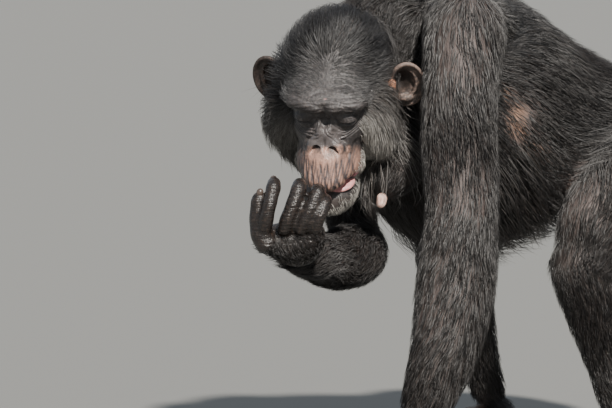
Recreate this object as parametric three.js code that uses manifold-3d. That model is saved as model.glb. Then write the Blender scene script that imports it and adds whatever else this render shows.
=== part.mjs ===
// A life-size chimpanzee that stands on two feet and the knuckles of its left hand,
// with its right hand raised to its mouth.
// Millimetres, +Z up. The animal faces -Y, its left side is +X, and the floor is Z = 0.
import * as THREE from "three";
import { mergeVertices } from "three/addons/utils/BufferGeometryUtils.js";
import Module from "manifold-3d";

const wasm = await Module();
wasm.setup();

// Driving dimensions
const gap = 0.35; // clear space between two neighbouring pieces
const at = (x, y, z) => new THREE.Vector3(x, y, z);

const joints = {
  head: at(35, -245, 515),
  kneeLeft: at(150, 58, 290),
  ankleLeft: at(140, 158, 66),
  kneeRight: at(-158, 96, 284),
  ankleRight: at(-150, 185, 66),
};
const headTurn = { yaw: 39, nod: 34, tilt: 2.5 }; // degrees
const eyeRadius = 10.5;

// The coat: each form below is given out to the tips of its hair. The core of a piece reaches
// from the skin only this share of the way to the tips, and its locks the rest.
const coreShare = 0.45;
const coatDepth = { neck: 24, trunk: 26, upperArm: 16, forearm: 18, thigh: 18, shank: 14 };
const inset = (depth) => depth * (1 - coreShare);

const black = { color: 0x17140f, roughness: 0.75 };
const looks = {
  coat: new THREE.MeshStandardMaterial(black),
  skin: new THREE.MeshStandardMaterial({ color: 0x2a2220, roughness: 0.55 }),
  ear: new THREE.MeshStandardMaterial({ color: 0x4a3a32, roughness: 0.6 }),
  eye: new THREE.MeshStandardMaterial({ color: 0x2b1508, roughness: 0.1 }),
  mouth: new THREE.MeshStandardMaterial({ color: 0xb06a72, roughness: 0.4 }),
  nipple: new THREE.MeshStandardMaterial({ color: 0xd8a592, roughness: 0.5 }),
};

// Solids

function solidOf(geometry) {
  const bare = geometry.clone();
  bare.deleteAttribute("normal");
  bare.deleteAttribute("uv");
  const merged = mergeVertices(bare, 1e-4);
  const make = (triVerts) =>
    new wasm.Manifold(
      new wasm.Mesh({
        numProp: 3,
        vertProperties: merged.attributes.position.array,
        triVerts,
      }),
    );
  const faces = new Uint32Array(merged.index.array);
  const made = make(faces);
  return made.volume() > 0 ? made : make(faces.reverse());
}

function geometryOf(solid) {
  const mesh = solid.getMesh();
  const geometry = new THREE.BufferGeometry();
  geometry.setAttribute(
    "position",
    new THREE.BufferAttribute(mesh.vertProperties, 3),
  );
  geometry.setIndex(new THREE.BufferAttribute(mesh.triVerts, 1));
  return geometry;
}

const join = (...solids) => wasm.Manifold.union(solids.flat());

function largest(solid) {
  return solid.decompose().sort((a, b) => b.volume() - a.volume())[0];
}

// The same solid with every face moved out by a distance. A corner moves until it clears
// each face that meets in it.
function grown(solid, distance) {
  const geometry = geometryOf(solid);
  const place = geometry.attributes.position;
  const faces = geometry.index.array;
  const meeting = Array.from({ length: place.count }, () => []);
  const corner = [0, 1, 2].map(() => new THREE.Vector3());
  for (let i = 0; i < faces.length; i += 3) {
    corner.forEach((c, k) => c.fromBufferAttribute(place, faces[i + k]));
    const out = corner[1].clone().sub(corner[0]);
    out.cross(corner[2].clone().sub(corner[0])).normalize();
    if (out.length() > 0.5)
      for (let k = 0; k < 3; k++) meeting[faces[i + k]].push(out);
  }
  const rounds = 6;
  meeting.forEach((normals, i) => {
    const move = at(0, 0, 0);
    for (let round = 0; round < rounds; round++)
      for (const n of normals) {
        const short = distance - n.dot(move);
        if (short > 0) move.addScaledVector(n, short);
      }
    move.clampLength(0, 3 * distance);
    place.setXYZ(
      i,
      place.getX(i) + move.x,
      place.getY(i) + move.y,
      place.getZ(i) + move.z,
    );
  });
  return solidOf(geometry);
}

// Moves every vertex of a unit geometry by a function
function reshape(geometry, move) {
  const place = geometry.attributes.position;
  const p = new THREE.Vector3();
  for (let i = 0; i < place.count; i++) {
    p.fromBufferAttribute(place, i);
    const moved = move(p);
    place.setXYZ(i, moved.x, moved.y, moved.z);
  }
  return geometry;
}

function ellipsoid(centre, radii, sides = 20, matrix = new THREE.Matrix4()) {
  const ball = new THREE.SphereGeometry(1, sides, Math.round(sides * 0.6));
  ball.rotateX(Math.PI / 2).scale(...radii);
  ball.applyMatrix4(matrix).translate(centre.x, centre.y, centre.z);
  return solidOf(ball);
}

// A long rounded form along a smooth line. Each station is [x, y, z, half width, half depth, egg]:
// the width lies along the vector across, and egg makes the section wider on its deep side.
function limb(stations, across, caps = [0.12, 0.12]) {
  const curve = (points) =>
    new THREE.CatmullRomCurve3(points, false, "catmullrom", 0.5);
  const line = curve(stations.map((s) => at(s[0], s[1], s[2])));
  const size = curve(stations.map((s) => at(s[3], s[4] ?? s[3], s[5] ?? 0)));
  const rounding = (t) => {
    const start = Math.min(t / caps[0], 1);
    const end = Math.min((1 - t) / caps[1], 1);
    return Math.sqrt(
      Math.max(0, 1 - (1 - start) ** 2) * Math.max(0, 1 - (1 - end) ** 2),
    );
  };
  const axes = (t) => {
    const along = line.getTangent(Math.min(Math.max(t, 0.001), 0.999));
    const side = across.clone().addScaledVector(along, -across.dot(along));
    side.normalize();
    return { side, deep: along.cross(side) };
  };
  const point = (t, turn, less) => {
    const { side, deep } = axes(t);
    const s = size.getPoint(t);
    const round = rounding(t);
    const wide = (s.x - less) * (1 + s.z * Math.sin(turn));
    return line
      .getPoint(t)
      .addScaledVector(side, wide * round * Math.cos(turn))
      .addScaledVector(deep, (s.y - less) * round * Math.sin(turn));
  };
  const shape = (sides, rings, less = 0) =>
    solidOf(
      reshape(new THREE.SphereGeometry(1, sides, rings), (p) => {
        const latitude = Math.acos(Math.min(Math.max(p.y, -1), 1)) / Math.PI;
        const t = latitude * 0.5 + (1 - p.y) * 0.25; // rings closer at both ends
        return point(t, Math.atan2(p.z, p.x), less);
      }),
    );
  // The middle of the section and the way out from it, for the coat
  const aim = (t, turn) => {
    const { side, deep } = axes(t);
    const out = side.multiplyScalar(Math.cos(turn));
    return { middle: line.getPoint(t), out: out.addScaledVector(deep, Math.sin(turn)) };
  };
  return { shape, aim };
}

// A finger or toe through a list of joints, as wide across its bend as breadth times its depth
function digit(points, radii, breadth = 1, sides = 7) {
  const stations = points.map((p, i) => [p.x, p.y, p.z, radii[i] * breadth, radii[i]]);
  const first = points[1].clone().sub(points[0]).normalize();
  const last = points.at(-1).clone().sub(points[0]).normalize();
  let across = first.cross(last);
  if (across.length() < 0.1) across = at(1, 0.3, 0.2);
  return limb(stations, across.normalize(), [0.1, 0.16]).shape(sides, 6);
}

const floorCutter = solidOf(
  new THREE.BoxGeometry(2000, 2000, 200).translate(0, 0, -100),
);

// Pieces are placed one after another, and each is cut clear of those placed before it.

const model = new THREE.Group();
const placed = [];

function overlaps(a, b) {
  return [0, 1, 2].every((k) => a.min[k] <= b.max[k] && b.min[k] <= a.max[k]);
}

function place(name, solid, material, apart = []) {
  let piece = solid;
  for (const other of placed)
    if (!apart.includes(other.name) && overlaps(reachOf(other.grown), piece.boundingBox()))
      piece = piece.subtract(other.grown);
  piece = largest(piece);
  placed.push({ name, piece, material, grown: grown(piece, gap) });
}

// Coat: locks that are rooted in a piece and lie along its surface

let seed = 7;
function random(from, to) {
  seed = (seed * 1664525 + 1013904223) % 4294967296;
  return from + ((to - from) * seed) / 4294967296;
}

// A flat lock along a path, widest near its root and drawn out to a tip
function lock(path, outs, width, thickness) {
  const line = new THREE.CatmullRomCurve3(path);
  const out = new THREE.CatmullRomCurve3(outs);
  return solidOf(
    reshape(new THREE.SphereGeometry(1, 3, 5), (p) => {
      const t = Math.acos(Math.min(Math.max(p.y, -1), 1)) / Math.PI;
      const full = Math.sin(Math.PI * t ** 0.7);
      const way = line.getTangent(t);
      const up = out.getPoint(t);
      const wide = way.clone().cross(up).normalize();
      const round = Math.hypot(p.x, p.z) || 1;
      return line
        .getPoint(t)
        .addScaledVector(wide, ((p.z / round) * full * width) / 1.73)
        .addScaledVector(wide.cross(way), -(p.x / round) * full * thickness);
    }),
  );
}

// The points of one lock: it leaves the surface below the skin and rises to its lift
function lockPath(mesh, aim, t, turn, flow, lift) {
  const far = 400;
  const steps = 3;
  const ray = new THREE.Raycaster();
  const path = [];
  const outs = [];
  for (let i = 0; i <= steps; i++) {
    const share = i / steps;
    const along = t + flow[0] * share;
    if (along < 0.02 || along > 0.98) return null;
    const { middle, out } = aim(along, turn + flow[1] * share);
    ray.set(middle.clone().addScaledVector(out, far), out.clone().negate());
    const hit = ray.intersectObject(mesh)[0];
    if (!hit || hit.face.normal.dot(out) < 0.2) return null;
    const height = i === 0 ? -9 : lift * share ** 0.6;
    path.push(hit.point.addScaledVector(out, height));
    outs.push(out);
  }
  return { path, outs };
}

// Shares of a lock's length and lift to try, until it clears the pieces next to it
const tries = [
  [1, 1],
  [0.75, 1],
  [0.75, 1.6],
  [0.5, 1],
  [0.5, 1.6],
  [0.35, 1.3],
];

// Covers part of a piece with rows of locks. A patch says where they are rooted, how many,
// which way they flow, and their width and lift.
function growCoat(name, aim, patches) {
  const own = placed.find((p) => p.name === name);
  const mesh = new THREE.Mesh(geometryOf(own.piece));
  const near = placed.filter(
    (p) => p !== own && overlaps(p.grown.boundingBox(), reachOf(own.piece, 130)),
  );
  const locks = [];
  for (const patch of patches)
    for (let row = 0; row < patch.rows; row++)
      for (let i = 0; i < patch.across; i++) {
        const t = spread(patch.t, (row + random(0.3, 0.7)) / patch.rows);
        const shift = row % 2 ? 0.75 : 0.25;
        const turn = spread(patch.turn, (i + shift + random(-0.1, 0.1)) / patch.across);
        const side = patch.fan ? Math.cos(turn) : 1;
        for (const [reach, raise] of tries) {
          const flow = [patch.flow[0] * reach, patch.flow[1] * reach * side];
          const lift = patch.lift * random(0.75, 1) * raise;
          const made = lockPath(mesh, aim, t, turn, flow, lift);
          if (!made) continue;
          const width = patch.width * random(0.85, 1.1) * Math.sqrt(reach);
          const solid = lock(made.path, made.outs, width, 2.6);
          if (!near.every((p) => solid.intersect(p.grown).isEmpty())) continue;
          locks.push(solid);
          break;
        }
      }
  own.piece = largest(join(own.piece, locks));
  own.grown = grown(own.piece, gap);
  return locks.length;
}

const spread = ([from, to], share) => from + (to - from) * share;

function reachOf(solid, most = 0) {
  const box = solid.boundingBox();
  return { min: box.min.map((v) => v - most), max: box.max.map((v) => v + most) };
}

// Head, in its own axes: x to its left, y to the back, z up, from the middle between the ears

const headMatrix = new THREE.Matrix4()
  .makeRotationZ(THREE.MathUtils.degToRad(headTurn.yaw))
  .multiply(
    new THREE.Matrix4().makeRotationX(THREE.MathUtils.degToRad(headTurn.nod)),
  )
  .multiply(
    new THREE.Matrix4().makeRotationY(THREE.MathUtils.degToRad(headTurn.tilt)),
  )
  .setPosition(joints.head);
const headTurned = new THREE.Matrix4().extractRotation(headMatrix);
const onHead = (x, y, z) => at(x, y, z).applyMatrix4(headMatrix);

const thick = (skin, tips) => skin + (tips - skin) * coreShare;
const lumps = [
  { centre: [0, 6, 34], radii: [thick(62, 78), thick(76, 94), thick(60, 80)], blend: 0 }, // crown
  { centre: [0, 36, 4], radii: [thick(58, 76), thick(52, 66), thick(56, 68)], blend: 24 }, // nape
  { centre: [42, -14, -26], radii: [thick(36, 50), thick(50, 54), thick(54, 74)], blend: 20 },
  { centre: [-42, -14, -26], radii: [thick(36, 50), thick(50, 54), thick(54, 74)], blend: 20 },
  { centre: [0, -72, 40], radii: [30, 24, 14], blend: 20 }, // brow, middle
  { centre: [28, -68, 39], radii: [24, 22, 13], blend: 14 }, // brow, left
  { centre: [-28, -68, 39], radii: [24, 22, 13], blend: 14 }, // brow, right
  { centre: [0, -60, -6], radii: [47, 38, 37], blend: 18 }, // middle of the face
  { centre: [0, -94, -36], radii: [35, 39, 30], blend: 14 }, // upper muzzle
  { centre: [0, -94, -10], radii: [22, 19, 18], blend: 8 }, // nose
  { centre: [0, -112, -48], radii: [32, 32, 18], blend: 10 }, // upper lip
  { centre: [23, -80, -50], radii: [20, 27, 24], blend: 10 }, // cheek, left
  { centre: [-23, -80, -50], radii: [20, 27, 24], blend: 10 }, // cheek, right
  { centre: [0, -86, -88], radii: [36, 49, 27], blend: 14 }, // lower jaw
];

// How far a point lies outside the head, roughly in millimetres
function headField(p) {
  let far = Infinity;
  for (const { centre, radii, blend } of lumps) {
    const q = at(
      (p.x - centre[0]) / radii[0],
      (p.y - centre[1]) / radii[1],
      (p.z - centre[2]) / radii[2],
    );
    const k = q.length();
    const d = k < 1e-6 ? -Math.min(...radii) : (k - 1) * Math.min(...radii);
    if (far === Infinity) far = d;
    else {
      const h = Math.max(blend - Math.abs(far - d), 0) / Math.max(blend, 1e-6);
      far = Math.min(far, d) - (h * h * blend) / 4;
    }
  }
  return far;
}

const headMiddle = at(0, -44, -22);

function headSurface(direction) {
  let inside = 0;
  let outside = 190;
  for (let i = 0; i < 24; i++) {
    const middle = (inside + outside) / 2;
    const p = headMiddle.clone().addScaledVector(direction, middle);
    if (headField(p) < 0) inside = middle;
    else outside = middle;
  }
  return headMiddle.clone().addScaledVector(direction, inside);
}

// A direction by its angle from the face and its turn round the head, from the left side up
const headWay = (tilt, turn) =>
  at(
    Math.sin(tilt) * Math.cos(turn),
    -Math.cos(tilt),
    Math.sin(tilt) * Math.sin(turn),
  );

// The poles lie at the lips and the nape, with the rings closest round the face.
function headSolid() {
  const ball = new THREE.SphereGeometry(1, 30, 24);
  reshape(ball, (p) => {
    const share = Math.acos(Math.min(Math.max(p.y, -1), 1)) / Math.PI;
    const tilt = Math.PI * share ** 1.35;
    const round = Math.atan2(p.z, p.x);
    return headSurface(headWay(tilt, round)).applyMatrix4(headMatrix);
  });
  return solidOf(ball);
}

function headAim(t, turn) {
  const out = headWay(Math.PI * t, turn).applyMatrix4(headTurned);
  return { middle: headMiddle.clone().applyMatrix4(headMatrix), out };
}

const eyes = { left: onHead(27, -80, 20), right: onHead(-27, -80, 20) };

function withEyes(head) {
  let made = head;
  for (const side of ["left", "right"]) {
    const s = side === "left" ? 1 : -1;
    const lid = ellipsoid(eyes[side], Array(3).fill(eyeRadius + 3), 12);
    const slit = ellipsoid(
      onHead(27 * s, -80 - eyeRadius, 16),
      [13, 8, 2.2],
      8,
      headTurned,
    );
    made = join(made, lid).subtract(slit);
  }
  return made;
}

function withNostrils(head) {
  const holes = [1, -1].map((s) =>
    ellipsoid(
      onHead(12 * s, -111, -17),
      [5, 9, 7.5],
      8,
      headTurned,
    ),
  );
  return head.subtract(join(holes));
}

function withMouth(head) {
  const slot = limb(
    [
      [...onHead(-38, -90, -61), 2.5, 22],
      [...onHead(-22, -128, -66), 2.5, 22],
      [...onHead(0, -134, -67), 3, 22],
      [...onHead(22, -126, -66), 5, 22],
      [...onHead(40, -89, -59), 4, 22],
    ],
    at(0, 0, 1).applyMatrix4(headTurned),
    [0.08, 0.08],
  ).shape(8, 9);
  return head.subtract(slot);
}

function ear(s) {
  const middle = onHead(88 * s, 12, 2);
  const turn = headTurned
    .clone()
    .multiply(new THREE.Matrix4().makeRotationZ(THREE.MathUtils.degToRad(12 * s)));
  const off = (x, y, z) => middle.clone().add(at(x, y, z).applyMatrix4(turn));
  const shell = ellipsoid(middle, [24, 9, 35], 10, turn);
  const cup = ellipsoid(off(1 * s, -8, 2), [21, 12, 32], 10, turn);
  const tragus = ellipsoid(off(-20 * s, -5, 5), [6, 7, 9], 5, turn);
  const fold = ellipsoid(off(-2 * s, -3, -20), [10, 4, 5], 5, turn);
  return join(shell.subtract(cup), tragus, fold);
}

// Trunk

const x = at(1, 0, 0);
const nipple = at(70, -201, 370);
const trunk = limb(
  [
    [0, -176, 535, 64, 70, 0],
    [0, -135, 522, 98, 120, 0],
    [0, -70, 492, 132, 168, -0.08],
    [0, 0, 466, 146, 192, -0.04],
    [0, 80, 456, 148, 168, 0],
    [0, 160, 452, 140, 124, 0],
    [0, 240, 440, 132, 98, 0],
    [0, 310, 422, 116, 82, 0],
    [0, 368, 400, 70, 56, 0],
  ],
  x,
  [0.1, 0.12],
);

function trunkSolid() {
  const blades = [1, -1].map((s) =>
    ellipsoid(at(84 * s, -62, 592), [50, 76, 46], 10),
  );
  const breasts = [1, -1].map((s) =>
    limb(
      [
        [60 * s, -130, 450, 36],
        [66 * s, -162, 418, 34],
        [nipple.x * s, nipple.y + 13, nipple.z + 22, 24],
        [nipple.x * s, nipple.y + 5, nipple.z + 7, 14],
      ],
      x,
      [0.2, 0.2],
    ).shape(6, 6),
  );
  const rump = [1, -1].map((s) =>
    ellipsoid(at(62 * s, 308, 410), [54, 58, 66], 10),
  );
  return join(trunk.shape(20, 15, inset(coatDepth.trunk)), blades, breasts, rump);
}

// Keeps the part of a solid that lies ahead of a plane, half a gap from it
function half(solid, point, ahead) {
  const reach = 1500;
  const box = new THREE.BoxGeometry(reach, reach, reach);
  box.translate(0, 0, gap / 2 - reach / 2);
  const turn = new THREE.Quaternion().setFromUnitVectors(
    at(0, 0, 1),
    ahead.clone().normalize(),
  );
  box.applyQuaternion(turn).translate(point.x, point.y, point.z);
  return solid.subtract(solidOf(box));
}

const waist = { front: at(0, 62, 460), back: at(0, 205, 444) }; // where the belly begins and ends
const spineWay = at(0, 1, -0.14);

// Arms and legs

const upperArmLeft = limb(
  [
    [112, -88, 632, 44, 48],
    [133, -118, 590, 62, 64],
    [154, -145, 528, 58, 60],
    [174, -162, 455, 56, 54],
    [193, -174, 380, 55, 51],
    [199, -182, 330, 52, 48],
  ],
  at(0.64, 0.77, 0),
  [0.16, 0.12],
);
const forearmLeft = limb(
  [
    [194, -178, 376, 47, 42],
    [199, -184, 325, 55, 49],
    [208, -199, 262, 56, 47],
    [211, -220, 190, 50, 40],
    [207, -246, 128, 39, 30],
    [202, -261, 88, 30, 24],
  ],
  at(0.64, 0.77, 0),
  [0.14, 0.1],
);
const upperArmRight = limb(
  [
    [-84, -108, 585, 36, 40],
    [-112, -148, 545, 50, 56],
    [-104, -158, 488, 47, 52],
    [-80, -158, 420, 43, 46],
    [-52, -152, 350, 41, 43],
    [-32, -148, 304, 38, 40],
  ],
  at(0.64, 0.77, 0),
  [0.16, 0.12],
);
const forearmRight = limb(
  [
    [-44, -134, 308, 34, 38],
    [-20, -164, 296, 46, 48],
    [18, -228, 294, 46, 48],
    [54, -292, 302, 38, 40],
    [84, -350, 314, 32, 32],
    [96, -378, 324, 29, 27],
  ],
  at(0, 0, 1),
  [0.14, 0.1],
);
const thigh = (s, knee) =>
  limb(
    [
      [84 * s, 285, 492, 62, 68],
      [98 * s, 250, 448, 76, 82],
      [122 * s, 190, 392, 70, 78],
      [knee.x * 0.94, knee.y + 46, knee.z + 38, 57, 64],
      [knee.x, knee.y + 4, knee.z + 2, 46, 48],
    ],
    x,
    [0.2, 0.16],
  );
const shank = (knee, ankle) => {
  const on = (share, y) => knee.clone().lerp(ankle, share).add(at(0, y, 0));
  return limb(
    [
      [...on(-0.08, 4), 42, 44],
      [...on(0.12, 8), 46, 50],
      [...on(0.4, 12), 42, 48],
      [...on(0.7, 6), 33, 38],
      [...on(0.95, 2), 29, 33],
      [...on(1.08, 2), 27, 32],
    ],
    x,
    [0.16, 0.12],
  );
};

// Foot: heel, arch and ball, with the toes forward and the big toe inward
function foot(ankle, s) {
  const on = (dx, dy, z) => at(ankle.x + dx * s, ankle.y + dy, z);
  const sole = limb(
    [
      [...on(-2, 42, 23), 26, 27],
      [...on(-1, 10, 29), 29, 34],
      [...on(2, -40, 22), 33, 27],
      [...on(5, -88, 14), 38, 18],
      [...on(7, -118, 10), 34, 13],
    ],
    x,
    [0.16, 0.14],
  ).shape(9, 6);
  const toes = [-22, -3, 16, 34].map((dx, i) => {
    const reach = [0, 6, 3, -7][i];
    return digit(
      [
        on(dx * 0.8 + 6, -100, 14),
        on(dx + 8, -134 - reach * 0.5, 17),
        on(dx + 10, -160 - reach, 9),
        on(dx + 10, -176 - reach, 6.5),
      ],
      [12, 11, 10.5, 9],
      0.84,
      5,
    );
  });
  return join(sole, toes).subtract(floorCutter);
}

function bigToe(ankle, s) {
  const on = (dx, dy, z) => at(ankle.x + dx * s, ankle.y + dy, z);
  return digit(
    [on(-12, -36, 16), on(-34, -66, 14), on(-50, -92, 10.5), on(-56, -112, 8)],
    [17, 15, 13.5, 10],
  ).subtract(floorCutter);
}

// Left hand on its knuckles: the palm faces back, the middle links lie on the floor
const palmLeft = limb(
  [
    [201, -258, 108, 27, 22],
    [201, -262, 88, 34, 20],
    [200, -266, 62, 40, 19],
    [200, -268, 44, 39, 16],
  ],
  at(0.86, 0.5, 0),
  [0.2, 0.2],
).shape(10, 6);

function knuckleFinger(step, reach) {
  const row = at(200, -268, 0).addScaledVector(at(0.86, 0.5, 0), step);
  const forward = at(0.5, -0.86, 0);
  const on = (f, z) => row.clone().addScaledVector(forward, f).setZ(z);
  return digit(
    [
      on(0, 52),
      on(14, 36),
      on(30 + reach, 15),
      on(8 + reach, 11),
      on(-14 + reach, 13),
      on(-16 + reach, 32),
    ],
    [13, 13, 13, 12.5, 11.5, 9],
    0.7,
  ).subtract(floorCutter);
}

// Right hand: the palm comes forward from the wrist, and the fingers bend up in front of the mouth
const handBack = at(0.766, -0.643, 0); // the way that the back of the fingers faces
const handSide = at(0.643, 0.766, 0); // from the thumb to the little finger
const knuckles = at(122, -397, 351);
const palmRight = limb(
  [
    [89, -366, 316, 32, 26],
    [104, -374, 328, 36, 24],
    [115, -388, 340, 44, 23],
    [...knuckles, 43, 19],
  ],
  handSide,
  [0.2, 0.25],
).shape(10, 6);

// A raised finger by its step across the palm, how far it leans and rises at its second
// joint, how far its tip comes forward again, and its radius
function raisedFinger(step, lean, rise, tip, radius) {
  const on = (across, toward, up) =>
    knuckles
      .clone()
      .addScaledVector(handSide, step + across)
      .addScaledVector(handBack, toward)
      .add(at(0, 0, up));
  return digit(
    [
      on(0, 3, -6),
      on(lean * 0.3, 13, rise * 0.28),
      on(lean * 0.66, 15, rise * 0.66),
      on(lean, 6, rise),
      on(lean * 1.05, -9, rise + 4),
      on(lean, tip - 24, rise + tip - 2),
    ],
    [1.12, 1, 0.96, 1.02, 0.92, 0.8].map((share) => share * radius),
    0.9,
  );
}

// Neck, from between the shoulders to the nape
const neck = limb(
  [
    [0, -84, 580, 64, 70],
    [4, -140, 578, 74, 76],
    [14, -184, 556, 72, 74],
    [26, -222, 534, 64, 64],
  ],
  at(0.9, 0.44, 0),
  [0.2, 0.2],
);

// Placing: the body from the middle outwards, then the coat

for (const side of ["left", "right"])
  place(
    "eye_" + side,
    ellipsoid(eyes[side], Array(3).fill(eyeRadius), 10),
    looks.eye,
  );
place("head", withMouth(withNostrils(withEyes(headSolid()))), looks.coat);
place(
  "tongue",
  ellipsoid(onHead(16, -106, -70), [20, 26, 9], 6, headTurned),
  looks.mouth,
);
place("ear_left", ear(1), looks.ear);
place("ear_right", ear(-1), looks.ear);

const body = trunkSolid();
place("chest", half(body, waist.front, spineWay.clone().negate()), looks.coat);
place("pelvis", half(body, waist.back, spineWay), looks.coat);
place(
  "belly",
  half(half(body, waist.front, spineWay), waist.back, spineWay.clone().negate()),
  looks.coat,
  ["chest", "pelvis"],
);
for (const s of [1, -1])
  place(
    s > 0 ? "nipple_left" : "nipple_right",
    ellipsoid(at(nipple.x * s, nipple.y, nipple.z), [6.5, 6.5, 9], 8),
    looks.nipple,
  );
place("neck", neck.shape(14, 7, inset(coatDepth.neck)), looks.coat);

const armInset = inset(coatDepth.upperArm);
place("upper_arm_left", upperArmLeft.shape(12, 8, armInset), looks.coat);
place("upper_arm_right", upperArmRight.shape(12, 8, armInset), looks.coat);
place("forearm_left", forearmLeft.shape(10, 8, inset(coatDepth.forearm)), looks.coat);
place("forearm_right", forearmRight.shape(10, 8, inset(coatDepth.forearm)), looks.coat);

place("palm_left", palmLeft, looks.skin);
[-28, -9.5, 9.5, 27].forEach((step, i) =>
  place(
    ["index", "middle", "ring", "little"][i] + "_finger_left",
    knuckleFinger(-step, [2, 6, 4, -3][i]),
    looks.skin,
  ),
);
place(
  "thumb_left",
  digit(
    [at(176, -276, 92), at(162, -288, 74), at(158, -292, 56), at(160, -290, 44)],
    [11, 10.5, 9.5, 7.5],
  ),
  looks.skin,
);

place("palm_right", palmRight, looks.skin);
[
  ["index", -31, 12, 51, 8, 10.5],
  ["middle", -7, 19, 49, 3, 11],
  ["ring", 13, 22, 43, 2, 10.5],
  ["little", 31, 14, 31, 1, 9],
].forEach(([name, ...form]) =>
  place(name + "_finger_right", raisedFinger(...form), looks.skin),
);
place(
  "thumb_right",
  digit(
    [
      at(108, -414, 325),
      at(100, -423, 345),
      at(97, -426, 365),
      at(98, -426, 385),
      at(99, -424, 397),
    ],
    [17, 14, 11, 9.5, 7.5],
  ),
  looks.skin,
);

const legs = [
  ["left", 1, joints.kneeLeft, joints.ankleLeft],
  ["right", -1, joints.kneeRight, joints.ankleRight],
].map(([side, s, knee, ankle]) => ({
  side,
  s,
  ankle,
  thigh: thigh(s, knee),
  shank: shank(knee, ankle),
}));
for (const leg of legs) {
  place("thigh_" + leg.side, leg.thigh.shape(12, 8, inset(coatDepth.thigh)), looks.coat);
  place("shank_" + leg.side, leg.shank.shape(10, 8, inset(coatDepth.shank)), looks.coat);
  place("foot_" + leg.side, foot(leg.ankle, leg.s), looks.skin);
  place("big_toe_" + leg.side, bigToe(leg.ankle, leg.s), looks.skin);
}

// Coats. A turn is measured round the section from the vector across, in radians.
const up = -Math.PI / 2; // the ridge of the back on the trunk
const trunkPatch = { turn: [up - 1.85, up + 1.85], flow: [0.2, 0.1], fan: true, width: 72 };
growCoat("head", headAim, [
  { t: [0.4, 0.8], rows: 3, turn: [0.35, 2.8], across: 6, flow: [0.18, 0], width: 36, lift: 14 },
  { t: [0.42, 0.6], rows: 2, turn: [-1, 0.35], across: 3, flow: [0.1, -0.42], width: 30, lift: 15 },
  { t: [0.42, 0.6], rows: 2, turn: [4.14, 2.8], across: 3, flow: [0.1, 0.42], width: 30, lift: 15 },
  { t: [0.34, 0.42], rows: 1, turn: [-2.2, -0.95], across: 4, flow: [0.11, 0], width: 20, lift: 12 },
]);
growCoat("neck", neck.aim, [
  { t: [0.8, 0.35], rows: 3, turn: [-3.3, 0.2], across: 6, flow: [-0.22, 0], width: 40, lift: 13 },
]);
growCoat("chest", trunk.aim, [
  { ...trunkPatch, t: [0.08, 0.37], rows: 3, across: 6, lift: 13 },
]);
growCoat("belly", trunk.aim, [
  { ...trunkPatch, t: [0.44, 0.62], rows: 2, across: 5, flow: [0.13, 0.06], lift: 13 },
]);
growCoat("pelvis", trunk.aim, [
  {
    ...trunkPatch,
    t: [0.6, 0.88],
    rows: 3,
    turn: [up - 1.25, up + 1.25],
    across: 4,
    flow: [0.13, 0.06],
    width: 60,
    lift: 13,
  },
]);
const limbPatch = { turn: [0, 2 * Math.PI], rows: 2, across: 4, width: 44, lift: 8 };
for (const [side, upperArm, forearm] of [
  ["left", upperArmLeft, forearmLeft],
  ["right", upperArmRight, forearmRight],
]) {
  growCoat("upper_arm_" + side, upperArm.aim, [
    { ...limbPatch, t: [0.18, 0.75], flow: [0.34, 0], width: 50 },
  ]);
  growCoat("forearm_" + side, forearm.aim, [
    { ...limbPatch, t: [0.12, 0.75], flow: [0.36, 0], width: 40 },
  ]);
}
for (const { side, ...leg } of legs) {
  growCoat("thigh_" + side, leg.thigh.aim, [
    { ...limbPatch, t: [0.22, 0.85], flow: [0.34, 0], width: 66, lift: 9 },
  ]);
  growCoat("shank_" + side, leg.shank.aim, [
    { ...limbPatch, t: [0.12, 0.8], across: 3, flow: [0.36, 0], lift: 7 },
  ]);
}

for (const { name, piece, material } of placed) {
  const mesh = new THREE.Mesh(geometryOf(piece), material);
  mesh.name = name;
  model.add(mesh);
}

// The origin is the middle of the model's footprint, on the floor.
const size = new THREE.Box3().setFromObject(model);
const footprint = size.getCenter(new THREE.Vector3());
model.position.set(-footprint.x, -footprint.y, -size.min.z);
model.updateMatrixWorld(true);

export default model;
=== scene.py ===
import math

import bmesh
import bpy
import numpy as np
from mathutils import Matrix, Vector
from mathutils.bvhtree import BVHTree
from mathutils.kdtree import KDTree


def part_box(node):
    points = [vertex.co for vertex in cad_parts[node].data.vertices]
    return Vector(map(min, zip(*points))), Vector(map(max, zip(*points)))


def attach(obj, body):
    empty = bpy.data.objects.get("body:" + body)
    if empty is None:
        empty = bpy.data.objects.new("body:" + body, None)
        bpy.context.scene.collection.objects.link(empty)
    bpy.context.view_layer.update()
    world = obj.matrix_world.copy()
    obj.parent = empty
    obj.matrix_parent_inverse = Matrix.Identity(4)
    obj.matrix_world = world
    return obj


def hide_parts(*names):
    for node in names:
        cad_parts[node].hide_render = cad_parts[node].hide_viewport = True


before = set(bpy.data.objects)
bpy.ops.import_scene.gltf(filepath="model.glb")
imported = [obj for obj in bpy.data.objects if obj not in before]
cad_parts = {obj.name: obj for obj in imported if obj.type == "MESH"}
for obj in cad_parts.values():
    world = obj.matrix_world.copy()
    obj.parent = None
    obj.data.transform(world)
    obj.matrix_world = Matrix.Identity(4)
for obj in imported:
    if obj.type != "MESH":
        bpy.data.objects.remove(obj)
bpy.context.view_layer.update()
random = np.random.default_rng(11)

# The animal is laid out in millimetres, facing -y, with its left side towards +x and the
# floor at z = 0. The frame's left eye says where that lies in the scene.
mm = 0.001
pose = {
    "head": (35, -245, 515),
    "yaw": 39,
    "nod": 34,
    "tilt": 2.5,
    "knees": {"left": (150, 58, 290), "right": (-158, 96, 284)},
    "ankles": {"left": (140, 158, 66), "right": (-150, 185, 66)},
}
eyes = {"radius": 10.5, "across": 27, "forward": 80, "up": 20, "look": (0.12, -0.86, -0.5)}

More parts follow.
